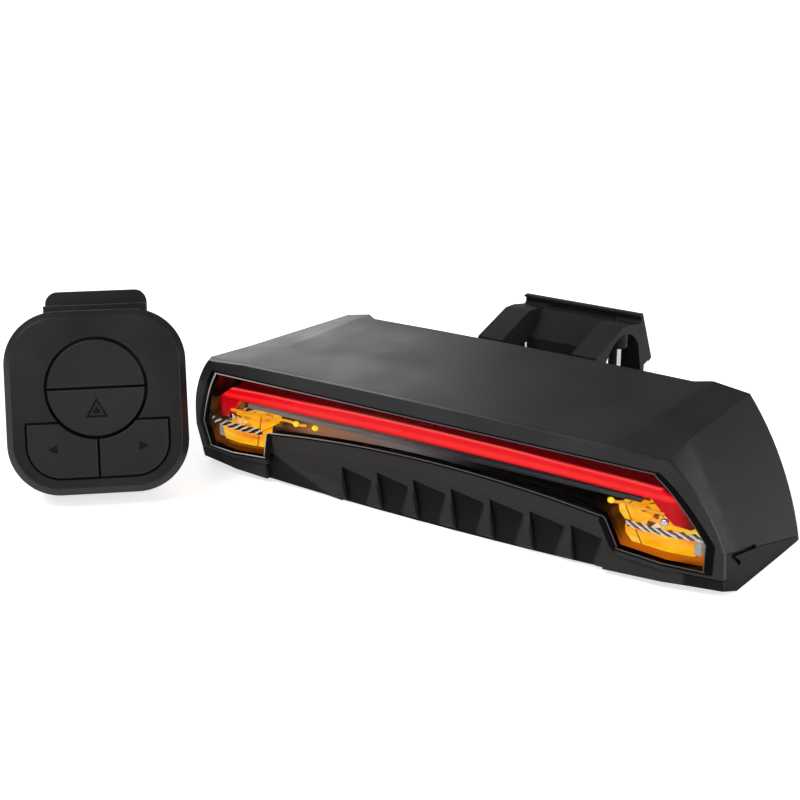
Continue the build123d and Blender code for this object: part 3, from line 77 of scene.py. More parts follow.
class Wiring:
    """Adds nodes to a tree with few words."""

    def __init__(self, tree):
        self.tree = tree

    def node(self, kind):
        return self.tree.nodes.new(kind)

    def put(self, socket, value):
        """Sets a socket to a value or wires another socket to it."""
        if hasattr(value, "is_output"):
            self.tree.links.new(value, socket)
        else:
            socket.default_value = value

    def axes(self, where):
        """The x, y and z of a place or direction."""
        node = self.node("ShaderNodeSeparateXYZ")
        self.put(node.inputs[0], where)
        return node.outputs

    def sums(self, operation, a, b=0.0, c=0.0):
        """One step of arithmetic on numbers or sockets."""
        node = self.node("ShaderNodeMath")
        node.operation = operation
        for socket, value in zip(node.inputs, (a, b, c)):
            self.put(socket, value)
        return node.outputs[0]

    def step(self, value, low, high, out_low=0.0, out_high=1.0):
        """A smooth step from out_low to out_high as a value goes from low to high."""
        node = self.node("ShaderNodeMapRange")
        node.interpolation_type = "SMOOTHSTEP"
        self.put(node.inputs["Value"], value)
        for socket, number in zip(("From Min", "From Max", "To Min", "To Max"),
                                  (low, high, out_low, out_high)):
            node.inputs[socket].default_value = number
        return node.outputs["Result"]

    def spread(self, noise, low, high):
        """A number from low to high over a noise's usual span."""
        return self.step(noise, *NOISE_SPAN, low, high)

    def between(self, share, first, second):
        """A mix of two numbers or number sockets."""
        node = self.node("ShaderNodeMix")
        for socket, value in zip(node.inputs[:1] + node.inputs[2:4], (share, first, second)):
            self.put(socket, value)
        return node.outputs[0]

    def blend(self, share, first, second, kind="MIX"):
        """A mix of two colours or colour sockets, or their sum where kind is ADD."""
        node = self.node("ShaderNodeMix")
        node.data_type = "RGBA"
        node.blend_type = kind
        self.put(node.inputs["Factor"], share)
        for socket, value in ((node.inputs[6], first), (node.inputs[7], second)):
            self.put(socket, value if hasattr(value, "is_output") else (*value, 1))
        return node.outputs[2]

    def ramp(self, value, stops):
        """A colour for a value between nought and one, from (place, colour) stops."""
        node = self.node("ShaderNodeValToRGB")
        bar = node.color_ramp.elements
        bar[0].position, bar[0].color = stops[0][0], (*stops[0][1], 1)
        bar[1].position, bar[1].color = stops[-1][0], (*stops[-1][1], 1)
        for where, colour in stops[1:-1]:
            bar.new(where).color = (*colour, 1)
        self.put(node.inputs["Fac"], value)
        return node.outputs["Color"]


class Finish(Wiring):
    """A material with its even numbers set, and nothing wired yet."""

    def __init__(self, name, rough, metal=0.0, specular=0.5):
        self.mat = bpy.data.materials.new(name)
        self.mat.use_nodes = True
        super().__init__(self.mat.node_tree)
        self.shader = self.tree.nodes["Principled BSDF"]
        self.place = self.node("ShaderNodeTexCoord").outputs["Object"]
        for socket, value in (("Roughness", rough), ("Metallic", metal),
                              ("Specular IOR Level", specular)):
            self.give(socket, value)

    def give(self, name, value):
        """Gives one of the shader's sockets a value or a wire."""
        self.put(self.shader.inputs[name], value)

    def glow(self, colour, strength):
        self.give("Emission Color", colour)
        self.give("Emission Strength", strength)

    def stretch(self, scale):
        """The place with each axis scaled: a small number draws a pattern out that way."""
        node = self.node("ShaderNodeMapping")
        node.inputs["Scale"].default_value = scale
        self.put(node.inputs["Vector"], self.place)
        return node.outputs[0]

    def noise(self, scale, detail=2.0, where=None):
        node = self.node("ShaderNodeTexNoise")
        node.inputs["Scale"].default_value = scale
        node.inputs["Detail"].default_value = detail
        self.put(node.inputs["Vector"], where or self.place)
        return node.outputs["Fac"]

    def tones(self, noise, low, high):
        """A colour from low to high over a noise's usual span."""
        return self.ramp(noise, [(NOISE_SPAN[0], low), (NOISE_SPAN[1], high)])

    def relief(self, height, depth):
        """Bumps of a depth in metres."""
        node = self.node("ShaderNodeBump")
        node.inputs["Strength"].default_value = 1.0
        node.inputs["Distance"].default_value = depth
        self.put(node.inputs["Height"], height)
        self.give("Normal", node.outputs["Normal"])


def shade(colour, factor):
    return tuple(value * factor for value in colour)


print("node kit ready, noise span:", NOISE_SPAN)

# %% [markdown]
# ## Moulded plastic and rubber
#
# The shells are black plastic from a spark-eroded mould: close up the surface is a fine
# even grain, and over a hand's width the gloss drifts a little. A flat black would look
# like paint. So the colour drifts between two near shades over centimetres, the
# roughness drifts with it, and a noise of about a tenth of a millimetre gives the grain.

# %% Moulded finishes
CLOUD = (60.0, 3.0)
GLOSS_DRIFT = 0.05
GRAIN, GRAIN_DEPTH = 9000.0, 5e-6
STREAKS = (300.0, 2.0)


def moulded(name, colour, rough, specular=0.5, grain=GRAIN, depth=GRAIN_DEPTH, drift=0.25):
    """Plastic or rubber: drifting shade and gloss, and a fine grain in relief."""
    kit = Finish(name, rough, specular=specular)
    cloud = kit.noise(*CLOUD)
    kit.give("Base Color", kit.tones(cloud, shade(colour, 1 - drift), shade(colour, 1 + drift)))
    kit.give("Roughness", kit.spread(cloud, rough - GLOSS_DRIFT, rough + GLOSS_DRIFT))
    kit.relief(kit.noise(grain), depth)
    return kit.mat


satin_black = moulded("satin_black_shell", (0.022, 0.022, 0.0225), 0.42, 0.16)
trim_black = moulded("bezel_black", (0.033, 0.033, 0.0335), 0.38, 0.2, depth=3e-6)
bracket_black = moulded("bracket_black", (0.019, 0.019, 0.0195), 0.5, 0.14, depth=7e-6)
case_black = moulded("remote_case_black", (0.018, 0.018, 0.0185), 0.36, 0.5)
# Painted shade: the near-black border stands in for the shaded inner wall of the window opening.
border_shade_black = moulded("border_painted_shade_black", (0.003, 0.003, 0.003), 0.25, 0.05, depth=1e-6)
mould_black = moulded("inner_black", (0.02, 0.02, 0.02), 0.5)
rubber_black = moulded("rubber_black", (0.02, 0.02, 0.02), 0.7, 0.3, 5000.0, 9e-6)
foam_black = moulded("foam_black", (0.05, 0.05, 0.05), 0.9, 0.2, 2500.0, 6e-5)
plug_white = moulded("plug_white", (0.75, 0.73, 0.68), 0.5, drift=0.06)
cell_grey = moulded("cell_wrap", (0.33, 0.35, 0.38), 0.35, depth=8e-6, drift=0.1)
print("moulded finishes from", satin_black.name, "to", cell_grey.name)

# %% [markdown]
# ## The front surface, and the chin's pockets
#
# Everything at the front follows one plane that leans forward at its top: it passes
# through the crown, the highest line of the front, and its foot lies further back. How
# far a point lies behind it is (y + start + z * lean) * cos, where start puts the plane
# in its place and cos is the cosine of the lean.
#
# The lower shell has a row of shallow pockets between its ribs. Their floors carry painted
# shade: a darker colour than the ribs, standing in for the shade in the recesses. The ribs
# lie near the front surface and the floors a full millimetre behind it, so that depth tells
# them apart. The painted shade also deepens from each pocket's open foot to its top.

# %% Chin and divider finishes
CROWN, LEAN, ORIGIN_BACK = 24.8, 0.245, 23.0
LEAN_COS = 1.0 / math.sqrt(1.0 + LEAN ** 2)
FRONT_START = (ORIGIN_BACK - CROWN * LEAN) * MM
# The pocket floors' darker colours below are painted shade of the recesses.
FLOOR_DEPTH = (0.74 * MM, 0.93 * MM)
POCKET_SHADE_RISE = (1.0 * MM, 9.0 * MM)
POCKET_TOP = (9.6 * MM, 10.2 * MM)
DIVIDER_RUN = (-40.0 * MM, 30.0 * MM)
DIVIDER_FLECK, DIVIDER_GLOW = 0.08, 0.35
RIB_BLACKS = ((0.038, 0.0345, 0.034), (0.046, 0.042, 0.0415))
POCKET_SHADE_BLACKS = ((0.011, 0.0095, 0.0095), (0.002, 0.0018, 0.0018))


def depth_behind_front(kit, y, z):
    """How far a point lies behind the leaning front surface, in metres."""
    ahead = kit.sums("ADD", kit.sums("MULTIPLY_ADD", z, LEAN, y), FRONT_START)
    return kit.sums("MULTIPLY", ahead, LEAN_COS)


def chin_finish():
    """Satin black with painted shade on the pocket floors."""
    kit = Finish("chin_black", 0.45, specular=0.12)
    _, y, z = kit.axes(kit.place)
    ribs = kit.tones(kit.noise(*CLOUD), *RIB_BLACKS)
    # Painted shade: pocket floors darker than the ribs, most at their tops under the overhang.
    pocket_shade = kit.blend(kit.step(z, *POCKET_SHADE_RISE), *POCKET_SHADE_BLACKS)
    share = kit.sums("MULTIPLY", kit.step(depth_behind_front(kit, y, z), *FLOOR_DEPTH),
                     kit.step(z, *POCKET_TOP, 1.0, 0.0))
    kit.give("Base Color", kit.blend(share, ribs, pocket_shade))
    kit.relief(kit.noise(GRAIN), GRAIN_DEPTH)
    return kit.mat


def divider_finish():
    """Grey satin with a painted glow from the left end that falls dark to the right."""
    kit = Finish("divider_grey", 0.3, specular=0.3)
    x, _, _ = kit.axes(kit.place)
    flecks = kit.noise(*STREAKS, kit.stretch((0.1, 1.0, 1.0)))
    place = kit.sums("ADD", kit.step(x, *DIVIDER_RUN),
                     kit.spread(flecks, -DIVIDER_FLECK, DIVIDER_FLECK))
    # Painted glow: the grey is light at the left end and falls dark to the right, and is given as
    # emission too.
    painted_glow_greys = kit.ramp(place, [(0.0, (0.22, 0.19, 0.175)), (0.45, (0.16, 0.152, 0.148)),
                             (0.75, (0.05, 0.048, 0.05)), (1.0, (0.022, 0.022, 0.024))])
    kit.give("Base Color", painted_glow_greys)
    kit.glow(painted_glow_greys, DIVIDER_GLOW)
    return kit.mat


chin_black = chin_finish()
divider_grey = divider_finish()
print("front surface meets the floor at y =", round(-FRONT_START, 5))

# %% [markdown]
# ## Metal and boards
#
# Brushed steel has fine parallel scratches: a noise drawn out fifty times along one axis,
# so that its spots become lines. Turned brass has rings across its length, so there the
# noise is drawn out along the two other axes. The circuit boards are green lacquer over
# copper lines, a wave pattern cut to narrow bands, with small pads between them.

# %% Metal and board finishes
SCRATCHES = (400.0, 3.0)
SCRATCH_SHADE, SCRATCH_GLOSS = 0.85, (0.8, 1.25)
TRACK_SCALE, TRACK_BENDS, TRACK_EDGE, TRACK_HEIGHT = 350.0, 6.0, (0.55, 0.7), 3e-5
PAD_SCALE, PAD_EDGE = 420.0, (0.16, 0.2)
PAD_TIN = (0.5, 0.48, 0.42)


def drawn_metal(name, colour, rough, scale, depth):
    """Metal with scratches along each axis whose scale is small."""
    kit = Finish(name, rough, metal=1.0)
    lines = kit.noise(*SCRATCHES, kit.stretch(scale))
    kit.give("Base Color", kit.tones(lines, shade(colour, SCRATCH_SHADE), colour))
    kit.give("Roughness", kit.spread(lines, *(rough * factor for factor in SCRATCH_GLOSS)))
    kit.relief(lines, depth)
    return kit.mat


def circuit_board(name, lacquer, copper):
    """Green lacquer with raised copper lines under it and pale pads."""
    kit = Finish(name, 0.35)
    wave = kit.node("ShaderNodeTexWave")
    wave.inputs["Scale"].default_value = TRACK_SCALE
    wave.inputs["Distortion"].default_value = TRACK_BENDS
    kit.put(wave.inputs["Vector"], kit.place)
    lines = kit.step(wave.outputs["Fac"], *TRACK_EDGE)
    pads = kit.node("ShaderNodeTexVoronoi")
    pads.inputs["Scale"].default_value = PAD_SCALE
    kit.put(pads.inputs["Vector"], kit.place)
    dots = kit.step(pads.outputs["Distance"], *PAD_EDGE, 1.0, 0.0)
    kit.give("Base Color", kit.blend(dots, kit.blend(lines, lacquer, copper), PAD_TIN))
    kit.relief(lines, TRACK_HEIGHT)
    return kit.mat


steel = drawn_metal("brushed_steel", (0.6, 0.6, 0.61), 0.3, (0.02, 1.0, 1.0), 4e-6)
bright_steel = drawn_metal("bright_steel", (0.86, 0.86, 0.87), 0.1, (1.0, 1.0, 0.05), 1e-6)
brass = drawn_metal("turned_brass", (0.75, 0.55, 0.25), 0.25, (0.05, 0.05, 1.0), 5e-6)
board_green = circuit_board("board_green", (0.01, 0.09, 0.035), (0.03, 0.2, 0.07))
print("metals and boards:", steel.name, bright_steel.name, brass.name, board_green.name)

# %% [markdown]
# ## The red bar
#
# The real bar is a clear red rod with emitters behind it. Light leaks out in bands: a
# pale line along its upper edge where it is thinnest, saturated red, then a lighter core.
# Seen from the front the bar lies between two shallow arcs, so the share of its height at
# a point is (z - lower arc) / (upper arc - lower arc). A colour ramp over that share
# paints the bands along the whole bar, and noise drawn out along x breaks them up. Only
# the bar's front face is lit like that: its upper face, which slopes away behind, is a
# dark red, so the glow falls with the depth behind the front.

# %% Red finish
RED_TOP, RED_TOP_SAG = 18.8 * MM, 0.8 * MM
RED_FOOT, RED_FOOT_SAG = 16.1 * MM, 0.5 * MM
RED_HALF = 42.0 * MM
RED_DEPTH = (2.8 * MM, 3.6 * MM)
RED_BEHIND = 0.09
RED_WOBBLE, RED_RELIEF = 0.07, 2e-5
RED_BODY = (0.12, 0.0, 0.002, 1)
LIT_STRENGTH = 0.9


def lit_red():
    """Bands of red over the share of the bar's height."""
    kit = Finish("red_lit", 0.22, specular=0.2)
    x, y, z = kit.axes(kit.place)
    across = kit.sums("DIVIDE", x, RED_HALF)
    square = kit.sums("MULTIPLY", across, across)
    foot = kit.sums("MULTIPLY_ADD", square, -RED_FOOT_SAG, RED_FOOT)
    top = kit.sums("MULTIPLY_ADD", square, -RED_TOP_SAG, RED_TOP)
    share = kit.sums("DIVIDE", kit.sums("SUBTRACT", z, foot), kit.sums("SUBTRACT", top, foot))
    wobble = kit.noise(*STREAKS, kit.stretch((0.08, 1.0, 1.0)))
    share = kit.sums("ADD", share, kit.spread(wobble, -RED_WOBBLE, RED_WOBBLE))
    share = kit.sums("MINIMUM", kit.sums("MAXIMUM", share, 0.0), 1.0)
    bands = kit.ramp(share, [(0.0, (0.55, 0.0, 0.004)), (0.12, (0.92, 0.004, 0.010)),
                             (0.34, (1.0, 0.026, 0.024)), (0.5, (1.0, 0.018, 0.018)),
                             (0.6, (0.86, 0.001, 0.006)), (0.86, (0.95, 0.002, 0.008)),
                             (0.94, (1.0, 0.11, 0.10)), (1.0, (0.8, 0.004, 0.010))])
    face = kit.step(depth_behind_front(kit, y, z), *RED_DEPTH, 1.0, RED_BEHIND)
    kit.give("Base Color", RED_BODY)
    kit.glow(kit.blend(face, BLACK, bands), LIT_STRENGTH)
    kit.relief(wobble, RED_RELIEF)
    return kit.mat


red_lit = lit_red()
print("red bar half width in metres:", RED_HALF)

# %% [markdown]
# ## The amber blocks
#
# Each amber block is a lit prism. Its faces run from cream through yellow to orange, with
# a thin brown line where a face turns. The runs are a noise drawn out along the block;
# the brown line is every point whose slanted distance from one place across is less than
# a tenth of a millimetre, and its mirror image on the other side. The outer part of each
# upper block is cut in small facets that mirror bright and dark things. There those
# reflections are painted: a pattern of irregular cells takes over, each cell with a tone
# of its own, given as glow.
#
# The strip between the blocks is ridged and bright, and black and white stripes show in
# it: reflections in its bright ridges, painted into its colour and glow. Its finish holds
# these painted reflections itself, so they stay in place from every side: the tone goes
# with the fraction left of (|x| + slant * z) / pitch.

# %% Amber and stripe finishes
AMBER_RUNS, AMBER_RELIEF, AMBER_BODY = (420.0, 2.0), 4e-5, (0.25, 0.09, 0.0, 1)
BROWN, BROWN_AT, BROWN_SLANT, BROWN_HALF = (0.25, 0.05, 0.0), 41.4 * MM, 0.35, 0.09 * MM
FACET_SCALE, FACETS_FROM, FACETS_ABOVE = 950.0, (39.3 * MM, 39.7 * MM), (10.4 * MM, 10.6 * MM)
MOTTLE_SCALE, MOTTLE_SPAN = 900.0, (0.35, 0.65)
RIDGE_SLANT, RIDGE_PITCH = 1.6, 1.7
STRIPE_JITTER, STRIPE_GLOW = 0.1, 0.45


def lit_amber():
    """Cream, yellow and orange runs, a thin brown line on each side, and painted facet reflections."""
    kit = Finish("amber_lit", 0.2, specular=0.4)
    x, _, z = kit.axes(kit.place)
    far = kit.sums("ABSOLUTE", x)
    runs = kit.noise(*AMBER_RUNS, kit.stretch((0.35, 1.0, 1.0)))
    colours = kit.ramp(runs, [(0.3, (0.72, 0.16, 0.0)), (0.42, (1.0, 0.34, 0.004)),
                              (0.52, (1.0, 0.46, 0.008)), (0.62, (1.0, 0.56, 0.02)),
                              (0.75, (1.0, 0.66, 0.16))])
    apart = kit.sums("MULTIPLY_ADD", z, BROWN_SLANT, kit.sums("SUBTRACT", far, BROWN_AT))
    line = kit.step(kit.sums("ABSOLUTE", apart), BROWN_HALF, BROWN_HALF * 2, 1.0, 0.0)
    colours = kit.blend(line, colours, BROWN)
    # Painted reflections: irregular cells of bright and dark tones on the outer facets.
    cells = kit.node("ShaderNodeTexVoronoi")
    cells.inputs["Scale"].default_value = FACET_SCALE
    kit.put(cells.inputs["Vector"], kit.stretch((0.8, 0.6, 1.3)))
    chance = kit.node("ShaderNodeSeparateColor")
    kit.put(chance.inputs[0], cells.outputs["Color"])
    facet_reflections = kit.ramp(chance.outputs[0], [(0.0, (0.03, 0.012, 0.005)), (0.24, (0.05, 0.02, 0.01)),
                                          (0.3, (0.95, 0.3, 0.0)), (0.7, (1.0, 0.5, 0.02)),
                                          (0.82, (0.6, 0.5, 0.42)), (1.0, (0.8, 0.76, 0.72))])
    outer = kit.sums("MULTIPLY", kit.step(far, *FACETS_FROM), kit.step(z, *FACETS_ABOVE))
    kit.give("Base Color", AMBER_BODY)
    kit.glow(kit.blend(outer, colours, facet_reflections), LIT_STRENGTH)
    kit.relief(runs, AMBER_RELIEF)
    return kit.mat


def lit(name, colour, glow, strength, rough=0.25):
    """A small lit or unlit emitter: a body colour, a glow and faint mottling."""
    kit = Finish(name, rough)
    cloud = kit.noise(MOTTLE_SCALE)
    low, high = MOTTLE_SPAN
    kit.give("Base Color", kit.ramp(cloud, [(low, shade(colour, 0.7)), (high, colour)]))
    kit.glow(kit.ramp(cloud, [(low, shade(glow, 0.8)), (high, glow)]), strength)
    return kit.mat


def striped_ridges():
    """Painted reflections as bright and dark slanted stripes: fract((|x| + slant * z) / pitch)."""
    kit = Finish("striped_ridges", 0.15, metal=0.6, specular=0.5)
    x, _, z = kit.axes(kit.place)
    run = kit.sums("MULTIPLY_ADD", z, RIDGE_SLANT, kit.sums("ABSOLUTE", x))
    part = kit.sums("FRACT", kit.sums("DIVIDE", run, RIDGE_PITCH * MM))
    part = kit.sums("ADD", part, kit.spread(kit.noise(500.0), -STRIPE_JITTER, STRIPE_JITTER))
    # Painted reflection: bright and dark stripes, also given as glow.
    painted_reflection_stripes = kit.ramp(part, [(0.2, (0.012, 0.009, 0.008)), (0.42, (0.02, 0.014, 0.012)),
                              (0.5, (0.75, 0.72, 0.68)), (0.72, (0.9, 0.88, 0.84)),
                              (0.85, (0.2, 0.12, 0.06))])
    kit.give("Base Color", painted_reflection_stripes)
    kit.glow(painted_reflection_stripes, STRIPE_GLOW)
    return kit.mat


amber_lit = lit_amber()
ridge_stripes = striped_ridges()
amber_stem_glow = lit("amber_stem_glow", (0.3, 0.1, 0.0), (1.0, 0.42, 0.03), 0.8)
bead_glow = lit("bead_glow", (0.4, 0.25, 0.02), (1.0, 0.72, 0.02), 0.95)
red_emitter = lit("red_emitter", (0.12, 0.006, 0.006), (0.4, 0.004, 0.006), 0.25)
amber_emitter = lit("amber_emitter", (0.5, 0.35, 0.1), (1.0, 0.6, 0.1), 0.6)
frosted_end = lit("frosted_end", (0.5, 0.48, 0.46), (0.62, 0.57, 0.52), 0.35, rough=0.4)
print("brown line crosses the floor at", BROWN_AT)

# %% [markdown]
# ## The tray behind the window
#
# The tray is dark polished plastic, lit by what stands in it: orange-brown around the
# amber blocks at both ends, strongest on its floor, a trace of red above the bar, and a
# sheen on the left part of the lip under the bar. A true light simulation would need
# many bounces through clear parts, so this light is painted: the tray carries its own
# faint glow by place, a smooth step across for the ends, times one in height.

# %% Tray finish
AMBER_ZONE = (31.0 * MM, 38.0 * MM)
AMBER_CEILING = (10.5 * MM, 14.5 * MM)
FLOOR_ZONE = (5.0 * MM, 9.5 * MM)
DIM_LEFT = (-44.0 * MM, 0.0)
RED_ZONE = (15.0 * MM, 17.5 * MM)
LEFT_LIP = (-36.0 * MM, 12.0 * MM)
LIP_HEIGHT = (11.0 * MM, 13.0 * MM)
LIP_CEILING = (14.5 * MM, 15.2 * MM)
TRAY_AMBER_GLOW, TRAY_RED_GLOW = (0.6, 0.125, 0.002), (0.055, 0.002, 0.002)
TRAY_BODY = (0.012, 0.006, 0.004, 1)
TRAY_STREAKS, TRAY_PATCHES, PATCH_EDGE = (260.0, 3.0), (110.0, 2.0), (0.42, 0.62)


def glowing_tray():
    """Painted glow on dark gloss: orange at the low ends, red high up and a sheen on the left lip."""
    kit = Finish("tray_dark_gloss", 0.2, specular=0.15)
    x, _, z = kit.axes(kit.place)
    streaks = kit.spread(kit.noise(*TRAY_STREAKS, kit.stretch((0.3, 1.0, 1.6))), 0.35, 1.0)
    amber = kit.step(kit.sums("ABSOLUTE", x), *AMBER_ZONE)
    for share in (kit.step(z, *AMBER_CEILING, 1.0, 0.0), streaks,
                  kit.step(z, *FLOOR_ZONE, 1.0, 0.25), kit.step(x, *DIM_LEFT, 0.3, 1.0)):
        amber = kit.sums("MULTIPLY", amber, share)
    patches = kit.noise(*TRAY_PATCHES, kit.stretch((0.5, 1.0, 1.5)))
    red = kit.sums("MULTIPLY", kit.step(z, *RED_ZONE), kit.step(patches, *PATCH_EDGE, 0.15, 1.0))
    painted_lip_sheen = kit.ramp(kit.step(x, *LEFT_LIP),
                     [(0.0, (0.05, 0.02, 0.005)), (0.12, (0.34, 0.14, 0.06)),
                      (0.45, (0.22, 0.13, 0.09)), (0.7, (0.15, 0.135, 0.13)), (1.0, BLACK)])
    lip = kit.sums("MULTIPLY", kit.step(z, *LIP_HEIGHT), kit.step(z, *LIP_CEILING, 1.0, 0.0))
    # Painted light: the amber pool, the red trace and the lip sheen, all given as emission.
    painted_glow = kit.blend(amber, BLACK, TRAY_AMBER_GLOW)
    for share, colour in ((red, TRAY_RED_GLOW), (lip, painted_lip_sheen)):
        painted_glow = kit.blend(1.0, painted_glow, kit.blend(share, BLACK, colour), "ADD")
    kit.give("Base Color", TRAY_BODY)
    kit.glow(painted_glow, LIT_STRENGTH)
    return kit.mat


tray_gloss = glowing_tray()
print("orange from", AMBER_ZONE[0], "to the ends")

# %% [markdown]
# ## The remote's signs
#
# The arrows and the hazard triangle are pressed into the keys and filled with black. The
# solids already have the recesses. The filling is a colour that shows only where a point
# lies just at the recess's depth, measured along the face's own outward axis: the dot
# product of the point with that axis, less the face's own distance.

# %% Key finish
KEY_PROUD, MARK_DEPTH = 0.45 * MM, 0.2 * MM
MARK_BAND = (0.02 * MM, 0.04 * MM)
KEY_CLOUD, SIGN_BLACK = 80.0, (0.002, 0.002, 0.002)
KEY_GREYS = ((0.018, 0.018, 0.018), (0.024, 0.024, 0.0245))


def outward(turn, rise):
    """A direction turned right from straight ahead and raised, by angles in radians."""
    return Vector((math.sin(turn) * math.cos(rise), -math.cos(turn) * math.cos(rise),
                   math.sin(rise)))


FACE_OUT = outward(math.radians(41.4), math.radians(20.0))


def key_plastic(face_level):
    """Soft dark grey with black in the pressed signs."""
    kit = Finish("key_black", 0.5, specular=0.3)
    dot = kit.node("ShaderNodeVectorMath")
    dot.operation = "DOT_PRODUCT"
    kit.put(dot.inputs[0], kit.place)
    dot.inputs[1].default_value = FACE_OUT
    level = kit.sums("SUBTRACT", dot.outputs["Value"], face_level + KEY_PROUD - MARK_DEPTH)
    filled = kit.step(kit.sums("ABSOLUTE", level), *MARK_BAND, 1.0, 0.0)
    grey = kit.tones(kit.noise(KEY_CLOUD), *KEY_GREYS)
    kit.give("Base Color", kit.blend(filled, grey, SIGN_BLACK))
    kit.relief(kit.noise(GRAIN), GRAIN_DEPTH)
    return kit.mat


remote_front = nodes["remote_front_case"]
face_points = np.array([remote_front.matrix_world @ v.co for v in remote_front.data.vertices])
face_level = float((face_points @ np.array(FACE_OUT)).max())
key_black = key_plastic(face_level)
print("face level along its axis:", round(face_level, 5))

# %% [markdown]
# ## The window's plastic
#
# Clear plastic is one shader with full transmission. A thin even shell bends the view
# hardly at all, while a thick block with a kink in it shows a dark line. The index is
# kept low, because the real window's coat mirrors almost nothing: a plain one would lay
# a grey veil over the dark parts behind it. A fine noise in its roughness is the trace
# of the mould.

# %% Clear finish, and a finish for every part
CLEAR_INDEX = 1.06


def clear_plastic(name, tint, rough):
    kit = Finish(name, rough)
    kit.give("Transmission Weight", 1.0)
    kit.give("IOR", CLEAR_INDEX)
    cloud = kit.noise(150.0, 3.0)
    kit.give("Base Color", kit.tones(cloud, shade(tint, 0.97), tint))
    kit.give("Roughness", kit.spread(cloud, rough * 0.6, rough * 1.4))
    return kit.mat


clear = clear_plastic("clear_window", (0.98, 0.98, 0.99), 0.02)

by_slot = {
    "shell": satin_black, "bezel": trim_black, "clear_lens": clear, "smoked_tray": tray_gloss,
    "red_guide": red_lit, "amber_guide": amber_lit, "divider": divider_grey,
    "board_green": board_green, "chip_black": mould_black, "emitter": amber_emitter,
    "plug_white": plug_white, "steel": steel, "polished_steel": bright_steel,
    "brass_barrel": brass, "cell_wrap": cell_grey, "foam": foam_black,
    "rubber": rubber_black, "remote_shell": case_black, "key_rubber": key_black,
}
own_finish = {
    "red_leds": red_emitter, "bracket_yoke": bracket_black, "bracket_base": bracket_black,
    "bottom_shell": chin_black,
}


def finish_of(name):
    return own_finish.get(name, by_slot[slot_of[name]])


def dress(shape, material):
    """Gives a whole mesh one material."""
    shape.data.materials.clear()
    shape.data.materials.append(material)


def add_piece(name, mesh, material, body):
    """Puts a mesh in the scene as a piece that rides on a body."""
    shape = bpy.data.objects.new(name, mesh)
    bpy.context.collection.objects.link(shape)
    dress(shape, material)
    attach(shape, body)
    return shape


for name, node in nodes.items():
    dress(node, finish_of(name))
print("finishes by slot:", len(by_slot))

# %% [markdown]
# ## Rounded edges
#
# A moulded part has no knife edges. They could be modelled in the solids, but hundreds
# of small roundings make solids slow and fragile. Here each visible part is copied, its
# loose triangles are merged into one skin, flat neighbours are joined, and a bevel
# rounds every edge that is sharper than a limit. Then the shading is weighted by the
# size of each face, so that large flats stay flat to the eye. The copy stands for the
# solid, which stays as it is for the moving model.

# %% Soften the visible parts
MERGE_GAP = 2e-6
FLAT_ANGLE, SHARP_ANGLE = math.radians(0.5), math.radians(28.0)
ROUNDING_STEPS = 3


def softened(name, radius):
    """A merged copy of a part with its sharp edges rounded."""
    mesh = nodes[name].data.copy()
    mesh.name = name + "_soft"
    work = bmesh.new()
    work.from_mesh(mesh)
    bmesh.ops.remove_doubles(work, verts=work.verts, dist=MERGE_GAP)
    bmesh.ops.dissolve_limit(work, angle_limit=FLAT_ANGLE, verts=work.verts, edges=work.edges)
    work.to_mesh(mesh)
    work.free()
    mesh.polygons.foreach_set("use_smooth", np.ones(len(mesh.polygons), bool))
    shape = add_piece(name + "_soft", mesh, finish_of(name), body_of[name])
    bevel = shape.modifiers.new("rounding", "BEVEL")
    bevel.width = radius
    bevel.segments = ROUNDING_STEPS
    bevel.limit_method = "ANGLE"
    bevel.angle_limit = SHARP_ANGLE
    bevel.harden_normals = True
    even = shape.modifiers.new("even_shading", "WEIGHTED_NORMAL")
    even.keep_sharp = True
    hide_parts(name)


roundings = {
    "top_shell": 0.25, "bottom_shell": 0.18, "front_bezel": 0.2, "bracket_yoke": 0.2,
    "bracket_base": 0.2, "mount_rail": 0.2, "remote_front_case": 0.15, "remote_back_case": 0.2,
    "strap_mount": 0.25, "red_light_guide": 0.25, "divider_trim": 0.12,
    "left_amber_upper_guide": 0.2, "right_amber_upper_guide": 0.2,
    "left_amber_lower_guide": 0.2, "right_amber_lower_guide": 0.2,
    "upper_disc_key": 0.04, "lower_disc_key": 0.04, "left_turn_key": 0.04, "right_turn_key": 0.04,
}
for name, radius in roundings.items():
    softened(name, radius * MM)
print("rounded parts:", len(roundings))

# %% [markdown]
# ## Where the window is
#
# Everything behind the window follows the leaning front surface, but its ends sweep back.
# A point is given by its place across, its height and its depth behind the surface. The
# sweep starts softly: the distance past the bend is blended with a square root, so that
# the window has no kink. The outline is a handful of corners, in millimetres on the
# right half: a level top, a bowed slope, a foot, and an arc over the chin.

# %% The window's own surface and outline
BEND_AT, BEND = 43.5, 0.24
TRIM_SOFT, WINDOW_SOFT = 0.1, 3.0
WINDOW_TOP = (43.7, 22.1)
WINDOW_WIDE = (51.4, 9.7)
WINDOW_FOOT = (50.8, 4.1)
CHIN_END = (35.3, 5.4)
CHIN_TOP = (33.4, 11.1)
CHIN_CREST = 13.5
SIDE_BOW = 1.14
OUTLINE_RUNS = ((0.0, CHIN_TOP[0], 80), (CHIN_TOP[0], CHIN_END[0], 16),
                (CHIN_END[0], WINDOW_TOP[0], 24), (WINDOW_TOP[0], WINDOW_FOOT[0], 30),
                (WINDOW_FOOT[0], WINDOW_WIDE[0], 12))
OUTLINE_GAP = 0.35


